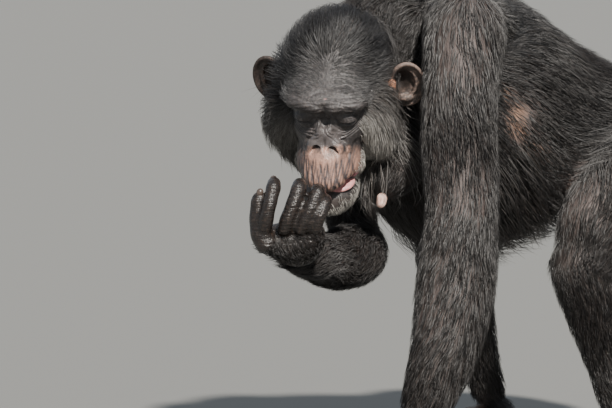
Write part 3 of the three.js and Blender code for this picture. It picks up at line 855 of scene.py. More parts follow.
def makeBody():
    bm = bmesh.new()
    for limb in limbs.values():
        addLimb(bm, limb, limb.depth, 36, 40)
    made = meshFrom(bm, "body")
    remesh(made, voxels["body"])
    relax(made, 4)
    fillCreases(made, 8, 8)
    relax(made, 5)
    return made


def makeSkin():
    parts = {}
    for name, make in (("body", makeBody), ("hands", makeHands), ("feet", makeFeet), ("head", makeHead)):
        parts[name] = make()
        print(name, "made")
    parts["ears"] = makeEars()
    for name, part in parts.items():
        thinOut(part, kept[name])
    skin = union([parts[name] for name in ("body", "head", "ears", "hands", "feet")])
    co = coordinates(skin)
    co[:, 2] = np.maximum(co[:, 2], 0)
    setCoordinates(skin, co)
    skin.name = "skin"
    skin.data.name = "skin"
    print("skin joined,", len(skin.data.vertices), "vertices")
    return skin


skin = makeSkin()


# Coat. Every hair is a thin closed blade with three sides: it leaves the skin at its root,
# follows the skin at its own height and ends in a point. Lengths are in millimetres.

coat = {
    "trianglesEach": 190000,
    "long": (0, 0.38, 0.74),
    "short": (0, 0.5),
    "thick": 0.45,
    "patch": 0.003,
    "reach": 20,  # a root is kept when the skin is this near to the form that it was set on
    "sunk": 1.5,
    "floor": 1.5,
    "profile": (0.8, 0.55, -0.95),  # width along a hair
    "wave": {"size": 26, "share": 0.35},
    "gather": {"pull": 0.85, "apart": 0.3},
    # a hair is left out where it leaves its way, turns sharply or ends in a long step
    "sound": {"stray": 0.3, "turn": 0.6, "last": 0.8},
}
skinTree = BVHTree.FromObject(skin, bpy.context.evaluated_depsgraph_get())


def nearestOnSkin(points):
    place = np.empty((len(points), 3))
    out = np.empty((len(points), 3))
    far = np.empty(len(points))
    for i, p in enumerate(points):
        place[i], out[i], _, far[i] = skinTree.find_nearest(p)
    return place, out, far


# A smooth noise that needs no lattice: a few waves in fixed directions
waves = random.normal(size=(7, 3))
phases = random.uniform(0, 2 * np.pi, 7)


def ripple(p, size):
    return np.sin((p / size) @ waves.T + phases).mean(axis=-1) * 1.6


# Where hairs grow: the place, the way out of the skin, the way along it, and the place on
# the chart
class Roots:
    def __init__(self, place, out, way, chart):
        self.place, self.out, self.way, self.chart = place, out, way, chart
        self.values = {}

    def keep(self, mask):
        made = Roots(self.place[mask], self.out[mask], self.way[mask], self.chart[mask])
        made.values = {k: v[mask] for k, v in self.values.items()}
        return made


# Draws cells of a chart by weight, and a place in each
def drawCells(weight, count):
    flat = weight.ravel() / weight.sum()
    cell = random.choice(len(flat), size=count, p=flat)
    rows, columns = weight.shape
    a = (cell // columns + random.random(count)) / rows
    b = (cell % columns + random.random(count)) / columns
    return a, b


def rootsOnLimb(limb, count, start, end):
    rows, columns = 60, 48
    e = 0.004
    a = (np.arange(rows) + 0.5) / rows
    b = (np.arange(columns) + 0.5) / columns
    t = start + (end - start) * a[:, None]
    turn = 2 * np.pi * b[None, :]
    alongWay = limb.point(t + e, turn, limb.depth) - limb.point(t - e, turn, limb.depth)
    roundWay = limb.point(t, turn + e, limb.depth) - limb.point(t, turn - e, limb.depth)
    a, b = drawCells(np.linalg.norm(np.cross(alongWay, roundWay), axis=-1), count)
    t = start + (end - start) * a
    turn = 2 * np.pi * b
    ahead = limb.point(np.minimum(t + e, 1), turn, limb.depth)
    flow = ahead - limb.point(np.maximum(t - e, 0), turn, limb.depth)
    place, out, far = nearestOnSkin(limb.point(t, turn, limb.depth))
    made = Roots(place, out, unit(flow), np.stack([b, a], axis=1))
    made.values["t"] = t
    return made.keep(far < coat["reach"])


headMiddle = np.array((0, -44, -22), float)
headPlace = np.array(headMatrix)
headAxes = headPlace[:3, :3]


def toHead(points):
    return (points - headPlace[:3, 3]) @ headAxes


def fromHead(ways):
    return ways @ headAxes.T


def headWay(tilt, turn):
    return np.stack(
        [np.sin(tilt) * np.cos(turn), -np.cos(tilt), np.sin(tilt) * np.sin(turn)], axis=-1
    )


def rootsOnHead(count):
    rows, columns = 48, 72
    a, b = drawCells(
        np.sin(np.pi * (np.arange(rows) + 0.5) / rows)[:, None].repeat(columns, axis=1), count
    )
    ways = headWay(np.pi * a, 2 * np.pi * b)
    inside, outside = np.zeros(count), np.full(count, 190.0)
    for _ in range(20):
        middle = (inside + outside) / 2
        within = headField(headMiddle + ways * middle[:, None]) < 0
        inside = np.where(within, middle, inside)
        outside = np.where(within, outside, middle)
    q = headMiddle + ways * inside[:, None]
    place, out, far = nearestOnSkin(fromHead(q) + headPlace[:3, 3])
    made = Roots(place, out, out.copy(), np.stack([b, a], axis=1))
    made.values["local"] = toHead(place)
    return made.keep(far < 5)


# Lengths, heights and widths are given for each root. The share of free is how far a hair may
# leave the skin and hang.
def strands(roots, rings, length, height, width, clump, free, droop, mess=0.16, flock=9):
    n = len(roots.place)
    down = np.array((0, 0, -1.0))
    free = np.broadcast_to(free, n)[:, None]
    way = roots.way + random.normal(size=(n, 3)) * mess
    wave = ripple(roots.place, coat["wave"]["size"])[:, None]
    way = way + wave * np.cross(roots.out, roots.way) * coat["wave"]["share"]
    way = way + down * droop
    way = unit(way - roots.out * (way * roots.out).sum(axis=1)[:, None])
    points = [roots.place - roots.out * coat["sunk"]]
    at = roots.place
    stray = np.zeros(n)
    last = 0
    for share in [*rings[1:], 1]:
        step = at + way * (length * (share - last))[:, None]
        near, out, _ = nearestOnSkin(step)
        off = ((step - near) * out).sum(axis=1)
        at = near + (step - near) * (free * (off > 0)[:, None])
        stray = np.maximum(stray, np.linalg.norm(at - step, axis=1))
        rise = height * np.sin(min(share * 1.3, 1.25)) / 0.95
        rise = np.maximum(rise - np.maximum(off, 0) * free[:, 0], 0)
        way = unit(way * (1 - 0.2 * free) + down * free * 0.4)
        way = unit(way - out * (way * out).sum(axis=1)[:, None] * (1 - free))
        points.append(at + out * rise[:, None])
        last = share
    # Hairs lean towards the tip of the guide nearest to their root.
    gather, limits = coat["gather"], coat["sound"]
    guides = random.choice(n, size=max(n // flock, 1), replace=False)
    tree = KDTree(len(guides))
    for i, g in enumerate(guides):
        tree.insert(roots.place[g], i)
    tree.balance()
    near = np.array([guides[tree.find(p)[1]] for p in roots.place])
    for k in range(1, len(points)):
        pull = (k / (len(points) - 1)) ** 1.5 * gather["pull"]
        target = points[k][near] + (roots.place - roots.place[near]) * gather["apart"]
        points[k] = points[k] + (target - points[k]) * (clump * pull)[:, None]
    steps = [b - a for a, b in zip(points, points[1:])]
    turns = [(unit(a) * unit(b)).sum(axis=1) for a, b in zip(steps, steps[1:])]
    sound = (np.minimum.reduce(turns) > limits["turn"]) & (stray < limits["stray"] * length)
    sound &= np.linalg.norm(steps[-1], axis=1) < limits["last"] * length
    sound &= np.minimum.reduce([p[:, 2] for p in points]) > coat["floor"]
    return points, roots.out, width, sound


def bladeMesh(name, rings, points, outs, width, chart, values):
    n = len(width)
    a, b, c = coat["profile"]
    co = np.empty((n, len(rings) * 3 + 1, 3))
    for k, ring in enumerate(rings):
        way = unit(points[k + 1] - points[k])
        side = unit(np.cross(way, outs))
        up = np.cross(side, way)
        w = (width * (a + b * ring + c * ring * ring))[:, None]
        co[:, 3 * k] = points[k] - side * w / 2
        co[:, 3 * k + 1] = points[k] + side * w / 2
        co[:, 3 * k + 2] = points[k] + up * w * coat["thick"]
    co[:, -1] = points[-1]
    last = len(rings) - 1
    faces = []
    for k in range(last):
        for a, b in ((0, 1), (1, 2), (2, 0)):
            faces.append((3 * k + a, 3 * k + b, 3 * k + 3 + b, 3 * k + 3 + a))
    tip = 3 * last + 3
    faces += [(3 * last + a, 3 * last + b, tip) for a, b in ((0, 1), (1, 2), (2, 0))] + [(2, 1, 0)]
    pattern = np.array([i for face in faces for i in face])
    loops = (pattern[None] + (np.arange(n) * (tip + 1))[:, None]).ravel()
    totals = np.tile([len(face) for face in faces], n)
    mesh = bpy.data.meshes.new(name)
    mesh.vertices.add(n * (tip + 1))
    mesh.vertices.foreach_set("co", co.astype(np.float32).ravel())
    mesh.loops.add(len(loops))
    mesh.loops.foreach_set("vertex_index", loops.astype(np.int32))
    mesh.polygons.add(len(totals))
    mesh.polygons.foreach_set("loop_start", (np.cumsum(totals) - totals).astype(np.int32))
    mesh.polygons.foreach_set("use_smooth", np.ones(len(totals), bool))
    mesh.update(calc_edges=True)
    along = np.append(np.repeat(rings, 3), 1)
    spots = np.append(np.tile([0, 1, 0.5], len(rings)), 0.5)
    uv = np.stack([spots, along], axis=1)[pattern] * coat["patch"]
    start = chart * (1 - coat["patch"])
    layer = mesh.uv_layers.new(name="OFBake")
    layer.uv.foreach_set("vector", (start[:, None] + uv[None]).astype(np.float32).ravel())
    for key, value in {**values, "along": None}.items():
        made = mesh.attributes.new(key, "FLOAT", "POINT")
        data = np.tile(along, n) if value is None else np.repeat(value, tip + 1)
        made.data.foreach_set("value", data.astype(np.float32))
    piece = bpy.data.objects.new(name, mesh)
    bpy.context.collection.objects.link(piece)
    return piece


coatPieces = []


# One patch of coat, cut into pieces that each stay small enough
def addCoat(name, rings, roots, length, height, width, marks, nodes, **lie):
    points, outs, width, sound = strands(roots, rings, length, height, width, **lie)
    n = sound.sum()
    parts = math.ceil(n * (len(rings) * 6 - 2) / coat["trianglesEach"])
    order = np.where(sound, np.cumsum(sound) % parts, -1)
    for i in range(parts):
        mask = order == i
        piece = bladeMesh(
            name + ("_%d" % (i + 1) if parts > 1 else ""),
            rings,
            [p[mask] for p in points],
            outs[mask],
            width[mask],
            roots.chart[mask],
            {k: v[mask] for k, v in marks.items()},
        )
        coatPieces.append((piece, nodes))
    print(name, n, "strands")
    return n * (len(rings) * 6 - 2)


# Places in the head's own axes as middle, half sizes, and where the place fades out as a share
# of them
bareZones = {
    "muzzle": ((0, -44), (39, 26), (0.86, 1.08)),
    "lower": ((0, -76), (30, 11), (0.7, 1.1)),
    "lids": ((27, 20), (20, 16), (0.8, 1.05)),
    "notch": ((0, 29), (13, 17), (0.8, 1.1)),
    "forehead": ((0, 58), (56, 26), (0.7, 1.3)),
    "ear": ((-2, -1), (29, 35), (0.82, 1)),
}
hairZones = {
    "brow": ((0, 52), (80, 36), (0.35, 1.35)),
    "face": ((0, -16), (44, 76), (0.9, 1.6)),
    "whiskers": ((-24, -34), (44, 50), (0.7, 1.2)),
    "beard": ((44, -36), (24, 48), (0.5, 1.2)),
}
browSpot = (2, -88, 50)


def oval(a, b, zone):
    (middleA, middleB), (wide, high), (near, far) = zone
    return falloff(np.hypot((a - middleA) / wide, (b - middleB) / high), near, far)


# How the hair of the head lies: shares of its regions
def headRegions(q):
    x, y, z = q.T
    chin = falloff(z, -100, -64) * falloff(y, -34, 0)
    cheek = falloff(z, 4, 56) * falloff(-np.abs(x), -44, -26) * (1 - chin)
    nape = falloff(-y, -62, -30) * (1 - cheek)
    brow = oval(x, z, hairZones["brow"]) * falloff(y, -66, -10)
    face = oval(x, z, hairZones["face"]) * falloff(y, -56, -20)
    return chin, cheek, nape, brow, face


# How much of the hair is missing at places of the head
def bareHead(q):
    x, y, z = q.T
    chin, _, _, brow, _ = headRegions(q)
    brow = brow * falloff(-z, -52, -38)
    ahead = y < -60
    ear = oval(y, z, bareZones["ear"]) * (np.abs(x) > 48) * np.where(x > 0, 1, 0.3)
    spot = awayFrom(q, browSpot) < 3.4
    faceWide = 42 + falloff(z, 4, 20) * 5
    bare = falloff(np.hypot(x / faceWide, (z + 16) / 78), 0.84, 1.16) * falloff(y, -62, -46)
    bare = bare * (1 - 0.9 * brow) * (1 - chin)
    muzzle = oval(x, z, bareZones["muzzle"]) * falloff(y, -74, -62)
    lower = oval(x, z, bareZones["lower"]) * falloff(y, -92, -80) * 0.8
    lids = oval(np.abs(x), z, bareZones["lids"]) * ahead
    notch = np.maximum(oval(x, z, bareZones["notch"]) * ahead, spot)
    ridge = falloff(np.hypot(x / 60, (z - 36) / (24 - 0.003 * x * x)), 0.78, 1.12)
    ridge = ridge * falloff(y, -62, -44)
    ridge = np.maximum(ridge * 0.96, 0.45 * oval(x, z, bareZones["forehead"])) * (y < -20)
    whiskers = oval(y, z, hairZones["whiskers"]) * (np.abs(x) > 30)
    return np.maximum.reduce([bare, muzzle, lower, ear, lids, notch, ridge, 0.35 * (1 - whiskers)])


headCoat = {
    "count": 65000,
    "width": (0.42, 0.8),
    "lengths": {"crown": 31, "nape": 38, "cheek": 104, "chin": 38, "chinSide": 36, "far": 16},
    "heights": {"crown": 13, "nape": 2, "cheek": 4, "low": (9, 29), "far": 20, "chin": -2},
}


def growHead():
    roots = rootsOnHead(headCoat["count"])
    q = roots.values["local"]
    roots = roots.keep(random.random(len(q)) > bareHead(q))
    q = roots.values["local"]
    x, y, z = q.T
    n = len(x)
    left = x > 0
    side = np.tanh(x / 14)
    mid = falloff(np.abs(x), 32, 64)
    flat = np.zeros(n)
    chin, cheek, nape, brow, face = headRegions(q)
    overFarEar = falloff(x, -60, -40) * falloff(-z, 20, 46) * falloff(z, 34, 60) * falloff(y, 6, 30)
    low = falloff(z - 14 * left, -30, 22) * cheek * falloff(-np.abs(x), -54, -40)
    beard = oval(np.abs(x), z, hairZones["beard"]) * falloff(y, -40, -10)
    ways = [
        (cheek, (side * 0.42 + 0.28 * left, flat + 0.16, flat - 1)),
        (nape, (x * 0.004, flat + 0.5, flat - 0.8)),
        (chin, (side * 0.35, flat, flat - 1)),
        (brow, (side * 1.7 * mid, 1.5 - 1.1 * mid, flat + 0.3)),
        (overFarEar, (flat - 1, flat + 0.5, flat - 0.5)),
    ]
    way = unit(q - np.array((0, -100, 30)))
    for share, other in ways:
        way = way + (np.stack(other, axis=1) - way) * share[:, None]
    roots.way = unit(fromHead(way))

    size = headCoat["lengths"]
    length = size["crown"] + (size["nape"] - size["crown"]) * nape
    length = length + (size["cheek"] - size["crown"]) * (0.35 * cheek + 0.65 * low)
    wide = falloff(-np.abs(x), -46, -22)
    length = length + (size["chin"] + size["chinSide"] * wide - size["crown"]) * chin
    length = (length + size["far"] * overFarEar) * (1 - 0.45 * brow) * (1 - 0.55 * face)
    length = length * (1 + 0.3 * low * left - 0.15 * low * (x < 0))
    length = length * (1 - 0.35 * beard)
    spread = random.uniform(0.5, 1.15, n)
    length = length * (spread + (0.95 - spread) * 0.5 * low)

    size = headCoat["heights"]
    height = size["crown"] + size["cheek"] * cheek + np.where(left, *size["low"][::-1]) * low
    height = height + size["far"] * overFarEar + size["nape"] * nape + size["chin"] * chin
    height = height * (1 - 0.75 * brow) * (1 - 0.85 * face)
    height = height * random.uniform(0.25, 1, n) ** 0.7
    width = random.uniform(*headCoat["width"], n) * (1 - 0.3 * brow) * (1 + 0.5 * low)

    # Painted light: cheek hair on the head's left side, which faces the sun, is made lighter grey and
    # browner, and on the right side it stays dark as painted shade. The brow's grey is partly grey hair
    # and partly painted highlight.
    greyAndSheen = np.clip(0.36 * brow + 0.7 * left * cheek + 0.09 + 0.3 * ripple(q, 9), 0, 1)
    jaw = falloff(z, -62, -34) * falloff(y, -46, -14) * falloff(np.abs(x), 50, 70)
    # Painted shade: the white of the beard is dimmed on the head's right side
    jaw = np.maximum(jaw, beard) * np.where(left, 1, 0.3)
    marks = {
        "tone": random.random(n),
        "greyAndSheen": greyAndSheen * random.uniform(0.2, 1, n),
        "white": np.maximum(chin * falloff(y, -50, -10), jaw) * random.uniform(0.3, 1, n),
        "brown": (0.2 + 0.5 * left) * cheek * random.random(n),
    }
    lie = {
        "clump": 0.2 + 0.3 * cheek + 0.3 * low,
        "free": 0.12 + 0.8 * low + 0.4 * chin * (1 - low),
        "droop": 0.1,
        "mess": 0.13,
        "flock": 14,
    }
    return addCoat("coat_head", coat["long"], roots, length, height, width, marks, ["head"], **lie)


# Places where the coat is thin: place, reach and the share of hairs that is missing
thinPlaces = [
    ((116, -22, 486), 42, 0.85),
    ((118, 20, 428), 30, 0.6),
    ((212, -214, 405), 80, 0.42),
    ((176, -185, 575), 76, 0.4),
    ((225, -250, 262), 70, 0.38),
    ((124, 72, 362), 60, 0.5),
    ((150, 90, 330), 50, 0.45),
    ((-116, -18, 480), 44, 0.62),
]


# Places where the hairs are painted lighter grey: painted sheen of the light on shoulder, arm, back and
# flank
sheenPlaces = [
    ((150, -120, 600), 170, 0.42),
    ((200, -200, 330), 120, 0.22),
    ((60, 60, 640), 150, 0.2),
    ((150, 110, 470), 130, 0.16),
]


# Share at each place that a list of places, reaches and shares gives
def shareAt(places, wanted):
    share = np.zeros(len(places))
    for place, reach, most in wanted:
        away = np.linalg.norm((places - np.array(place)) * (1, 1, 0.75), axis=1)
        away = away + 9 * ripple(places, 11)
        share = np.maximum(share, most * falloff(away, 0.35 * reach, reach))
    return share


# Patches of coat: number of hairs, where the patch starts and ends along its form, length, height
# over the skin and width of the hairs, how much they droop and how free they hang
limbCoats = {
    "neck": (9000, 0.0, 0.97, 50, 19, 0.95, 0.3, 0.1),
    "trunk": (32500, 0.005, 0.995, 60, 18, 1, 0.45, 0.1),
    "fringe": (6000, 0.3, 0.66, 92, 46, 1, 0.7, 0.5),
    "blade": (2800, 0.005, 0.995, 52, 17, 1, 0.3, 0.1),
    "rump": (2800, 0.005, 0.995, 46, 14, 1, 0.5, 0.1),
    "breast": (1400, 0.05, 0.85, 34, 10, 0.8, 0.5, 0.1),
    "upper_arm": (8700, 0.004, 0.97, 44, 11, 0.9, 0.25, 0.1),
    "forearm": (8000, 0.03, 0.92, 40, 10, 0.9, 0.25, 0.1),
    "thigh": (9000, 0.004, 0.97, 48, 13, 0.95, 0.25, 0.1),
    "shank": (5200, 0.03, 0.94, 34, 9, 0.9, 0.25, 0.1),
    "sole": (1200, 0.05, 0.72, 20, 5, 0.8, 0.25, 0.1),
    "palm_right": (2600, 0.02, 0.86, 18, 5, 0.8, 0.25, 0.1),
    "palm_left": (1700, 0.02, 0.9, 18, 5, 0.8, 0.25, 0.1),
}
# Ways of the hair over shoulders, hips and rump, and how far along the form they reach
hairLeads = {
    "trunk": ((0, 0.5, -0.8), 0.03, 0.1),
    "blade": ((0, 1, -0.15), 2, 3),
    "rump": ((0, 0.8, -0.7), 2, 3),
    "upper_arm": ((0, -0.25, -1), 0.12, 0.34),
    "thigh": ((0, 0.25, -1), 0.1, 0.5),
}
# Patches that cover only the side of a form that faces this way
facing = {
    "fringe": (0, 0, -1),
    "sole": (0, 0, 1),
    "palm_right": hands["back"],
    "palm_left": hands["forward"],
}
coatNodes = {
    "trunk": ["chest", "belly", "pelvis"],
    "fringe": ["belly"],
    "blade": ["chest"],
    "rump": ["pelvis"],
    "breast": ["chest"],
    "sole_left": ["foot_left"],
    "sole_right": ["foot_right"],
}


def growLimb(kind, side=""):
    count, start, end, length, height, width, droop, free = limbCoats[kind]
    name = kind + side
    roots = rootsOnLimb(limbs["trunk" if kind == "fringe" else name], count, start, end)
    if kind in hairLeads:
        way, near, far = hairLeads[kind]
        share = falloff(roots.values["t"], near, far)[:, None]
        roots.way = unit(roots.way * (1 - share) + np.array(way) * share)
    if kind in facing:
        edge = random.uniform(-0.1, 0.25, len(roots.out))
        roots = roots.keep(roots.out @ np.array(facing[kind]) > edge)
    roots.values["thin"] = shareAt(roots.place, thinPlaces)
    roots = roots.keep(random.random(len(roots.place)) > roots.values["thin"])
    thin = roots.values["thin"]
    n = len(thin)
    # grey hairs at random, with painted sheen added at the sheen places
    greyAndSheen = 0.14 + shareAt(roots.place, sheenPlaces) + 0.22 * ripple(roots.place, 22) + 0.3 * thin
    marks = {
        "tone": random.random(n),
        "greyAndSheen": np.clip(greyAndSheen, 0, 1) * random.random(n),
        "white": np.zeros(n),
        "brown": random.uniform(0, 0.15, n),
    }
    lengths = length * (1 - 0.3 * thin) * random.uniform(0.6, 1.15, n)
    heights = height * (1 - 0.6 * thin) * random.uniform(0.2, 1, n) ** 0.7
    widths = width * random.uniform(0.6, 1.2, n)
    nodes = coatNodes.get(name, coatNodes.get(kind, [name]))
    lie = {"clump": np.full(n, 0.5), "droop": droop, "free": free}
    return addCoat("coat_" + name, coat["short"], roots, lengths, heights, widths, marks, nodes, **lie)


def growCoat():
    total = growHead()
    for kind in ("neck", "trunk", "fringe"):
        total += growLimb(kind)
    for side in ("_left", "_right"):
        for kind in ("blade", "rump", "breast", "upper_arm", "forearm", "thigh", "shank", "sole"):
            total += growLimb(kind, side)
    for kind in ("palm_right", "palm_left"):
        total += growLimb(kind)
    print("coat of", total, "triangles")


growCoat()


# Small pieces

tongue = {"place": (13, -99, -71.5), "radii": (21, 21, 5.5)}
nipple = {"place": (70, -201, 370), "tip": (6.6, 6.6, 8), "base": (7, 7, 8), "turn": -14}
nail = {"width": 0.6, "length": 0.72, "height": 0.48, "out": 0.5, "back": 0.1}


def makeEyes():
    bm = bmesh.new()
    look = headTurn.to_3x3() @ Vector(eyes["look"]).normalized()
    turn = look.to_track_quat("Z", "Y").to_matrix().to_4x4()
    for s in (1, -1):
        addBall(bm, eyeSeat(s), [eyes["radius"]] * 3, turn, segments=48)
    made = meshFrom(bm, "eyes")
    co = coordinates(made)
    seats = np.array([eyeSeat(s) for s in (1, -1)])
    nearest = np.linalg.norm(co[:, None] - seats[None], axis=2).argmin(axis=1)
    ways = unit(co - seats[nearest])
    angle = np.arccos(np.clip(ways @ np.array(look), -1, 1))
    setMarks(made, {"fromPupil": angle})
    return made


def makeTongue():
    bm = bmesh.new()
    addBall(bm, onHead(*tongue["place"]), tongue["radii"], headTurn)
    return meshFrom(bm, "tongue")


def makeNipples():
    bm = bmesh.new()
    x, y, z = nipple["place"]
    turn = Matrix.Rotation(math.radians(nipple["turn"]), 4, "X")
    for s in (1, -1):
        addBall(bm, Vector((x * s, y, z)), nipple["tip"], turn, segments=24)
        addBall(bm, Vector((x * s, y + 1, z + 4)), nipple["base"], turn, segments=24)
    made = meshFrom(bm, "nipples")
    remesh(made, voxels["nipples"])
    relax(made, 4)
    return made


def makeNails():
    bm = bmesh.new()
    for place, way, back, radius, breadth in tips:
        side = way.cross(back).normalized()
        up = side.cross(way)
        if up.dot(back) < 0:
            up = -up
            side = -side
        turn = Matrix((side, way, up)).transposed().to_4x4()
        centre = place + up * radius * nail["out"] - way * radius * nail["back"]
        wide = radius * breadth * nail["width"]
        addBall(bm, centre, (wide, radius * nail["length"], radius * nail["height"]), turn, 16)
    return meshFrom(bm, "nails")


# Marks of the skin, as shares at each vertex

patches = {
    # thin places in the coat, where tan skin shows: place and reach
    "tan": [
        ((115, -24, 500), 20),
        ((117, -15, 478), 20),
        ((118, -9, 456), 18),
        ((118, 12, 433), 15),
        ((117, 30, 423), 13),
    ],
    "pale": [
        ((210, -218, 395), 85),
        ((176, -185, 575), 90),
        ((225, -250, 262), 80),
        ((118, 0, 460), 90),
        ((130, 75, 355), 80),
    ],
    "noseTan": [
        ((-17, -112, -15), 10),
        ((2, -116, -11), 9),
        ((19, -111, -12), 10),
        ((-4, -116, -18), 12),
        ((-16, -110, -22), 12),
        ((8, -117, -25), 13),
        ((21, -106, -26), 11),
        ((31, -98, -20), 8),
        ((0, -120, -30), 15),
    ],
}


markZones = {
    "lip": ((0, -44), (44, 28), (0.78, 1.04)),
    "under": ((0, -23), (25, 9), (0.6, 1.2)),
    "nose": ((0, -5), (27, 20), (0.8, 1.05)),
    "earHole": ((-4, 8), (14, 23), (0.55, 1.05)),
}
markPlaces = {"head": (0, -40, -20), "rightHand": (112, -398, 360)}


def skinMarks(co):
    q = toHead(co)
    x, y, z = q.T
    n = len(co)
    height = co[:, 2]
    fromHeadMiddle = awayFrom(q, markPlaces["head"])
    rightHand = falloff(awayFrom(co, markPlaces["rightHand"]), 74, 92)
    hand = np.maximum(rightHand, falloff(height, 104, 128) * (co[:, 1] < -190))
    foot = falloff(height, 52, 66) * (co[:, 1] > -60)
    front = falloff(fromHeadMiddle, 125, 135) * (height > 380) * (1 - hand) * falloff(y, -66, -50)
    scalp = falloff(fromHeadMiddle, 112, 128) * falloff(-height, -440, -410) * (1 - hand)
    lip = oval(x, z, markZones["lip"]) * falloff(y, -86, -70) * front
    # Painted shade: the pink of the lip fades to the dark face colour on the head's right side, the side
    # turned away from the sun
    lip = lip * (0.25 + 0.75 * falloff(-x, 22, 37))
    under = oval(x, z, markZones["under"]) * falloff(y, -104, -92) * front
    nose = oval(x, z, markZones["nose"]) * falloff(y, -96, -86) * front
    tan = np.zeros(n)
    for place, reach in patches["noseTan"]:
        tan = np.maximum(tan, falloff(awayFrom(q, place), 2, reach))
    tanSkin, pale = np.zeros(n), np.zeros(n)
    for share, kind in ((tanSkin, "tan"), (pale, "pale")):
        for place, reach in patches[kind]:
            for s in (1, -1):
                away = awayFrom(co, np.array(place) * (s, 1, 1)) + 5 * ripple(co, 9)
                share[:] = np.maximum(share, falloff(away, 0.3 * reach, reach))
    slot = Limb([(*p, 1, 1) for p in mouth["corners"]], (0, 0, 1), (0.1, 0.1))
    slot = slot.line(np.linspace(0, 1, 24))[:, :3]
    lipRim = distanceTo(q, slot)
    inside = falloff(lipRim, 5, 9) * front * falloff(-y, 128, 136)
    inside = np.maximum(inside, falloff(lipRim, 3, 7) * front * (z < -66))
    ear, concha, rim, tragus = (np.zeros(n) for _ in range(4))
    for s in (1, -1):
        turn = np.array(Matrix.Rotation(math.radians(-ears["turn"] * s), 3, "Z"))
        e = (q - np.array((ears["across"] * s, ears["back"], ears["up"]))) @ turn * (s, 1, 1)
        near = falloff(awayFrom(e, (0, 0, 0)), 38, 42) * falloff(-np.abs(x), -70, -62)
        spread = np.hypot(e[:, 0] / ears["radii"][0], e[:, 2] / ears["radii"][2])
        hole = oval(e[:, 0], e[:, 2], markZones["earHole"])
        ear = np.maximum(ear, near)
        # Painted shade on the right ear: the dark hollow colour spreads over most of it, and its pale rim
        # is kept faint
        concha = np.maximum(concha, near * (hole if s > 0 else np.maximum(hole, 0.8)))
        rim = np.maximum(rim, near * falloff(-spread, -0.93, -0.84) * (1 if s > 0 else 0.25))
        tragus = np.maximum(tragus, near * falloff(awayFrom(e, ears["tragus"]), 8, 15))
    # Painted shade: the lip's grooves are coloured dark along their carved relief
    grooveShade = np.clip(lipGrooves(q) * 1.3, 0, 1) * front
    spot = falloff(awayFrom(q, browSpot), 1.2, 3)
    return {
        "face": np.maximum(front, scalp * falloff(np.abs(x), 62, 72)),
        "lip": np.maximum(lip, under),
        "nose": nose,
        "noseTan": tan * front,
        "tan": tanSkin,
        "pale": pale,
        "ear": ear,
        "concha": concha * (1 - tragus),
        "rim": rim,
        "tragus": tragus,
        "hand": np.maximum(hand, foot),
        "inside": inside,
        "grooveShade": grooveShade,
        "spot": spot,
    }


def setMarks(piece, marks):
    for name, share in marks.items():
        made = piece.data.attributes.new(name, "FLOAT", "POINT")
        made.data.foreach_set("value", np.clip(share, 0, 1).astype(np.float32))


# Looks

def material(name, colour, roughness):
    made = bpy.data.materials.new(name)
    made.use_nodes = True
    shader = made.node_tree.nodes["Principled BSDF"]
    shader.inputs["Base Color"].default_value = (*colour, 1)
    shader.inputs["Roughness"].default_value = roughness
    return made, made.node_tree, shader


# Shorthand for nodes that are linked as they are made
class Tree:
    def __init__(self, tree):
        self.tree = tree

    def put(self, socket, value):
        if isinstance(value, bpy.types.NodeSocket):
            self.tree.links.new(value, socket)
        else:
            socket.default_value = value

    def node(self, kind, inputs, **settings):
        made = self.tree.nodes.new("ShaderNode" + kind)
        for key, value in settings.items():
            setattr(made, key, value)
        for key, value in inputs.items():
            self.put(made.inputs[key], value)
        return made.outputs

    def mark(self, name):
        return self.node("Attribute", {}, attribute_name=name)["Fac"]

    def math(self, operation, a, b=0.0, c=0.0):
        return self.node("Math", {0: a, 1: b, 2: c}, operation=operation)[0]

    # the colour sockets of a Mix node come after its plain and vector ones
    def mix(self, share, a, b):
        a, b = ((*colour, 1) if isinstance(colour, tuple) else colour for colour in (a, b))
        return self.node("Mix", {"Factor": share, 6: a, 7: b}, data_type="RGBA")[2]

    def noise(self, where, scale, detail, rough):
        inputs = {"Vector": where, "Scale": scale, "Detail": detail, "Roughness": rough}
        return self.node("TexNoise", inputs)["Fac"]

    def streaks(self, scale, detail, rough, stretch):
        where = self.node("TexCoord", {})["Object"]
        where = self.node("Mapping", {"Vector": where, "Scale": stretch})["Vector"]
        return self.noise(where, scale, detail, rough)

    def clouds(self, scale, low, high):
        inputs = {"Scale": scale, "Low": low, "High": high}
        return self.node("Group", inputs, node_tree=clouds)["Share"]

    def bump(self, shader, height, strength, distance):
        inputs = {"Strength": strength, "Distance": distance, "Height": height}
        self.put(shader.inputs["Normal"], self.node("Bump", inputs)["Normal"])

    def ramp(self, value, low, high):
        inputs = {"Value": value, "From Min": low, "From Max": high}
        return self.node("MapRange", inputs)["Result"]


# Clouds of a given scale, as a share from 0 to 1, for every finish but the coat's
def makeClouds():
    made = bpy.data.node_groups.new("clouds", "ShaderNodeTree")
    for name in ("Scale", "Low", "High"):
        made.interface.new_socket(name, in_out="INPUT", socket_type="NodeSocketFloat")
    made.interface.new_socket("Share", in_out="OUTPUT", socket_type="NodeSocketFloat")
    given = made.nodes.new("NodeGroupInput").outputs
    out = made.nodes.new("NodeGroupOutput")
    t = Tree(made)
    noise = t.noise(t.node("TexCoord", {})["Object"], given["Scale"], 4, 0.6)
    t.put(out.inputs["Share"], t.ramp(noise, given["Low"], given["High"]))
    return made


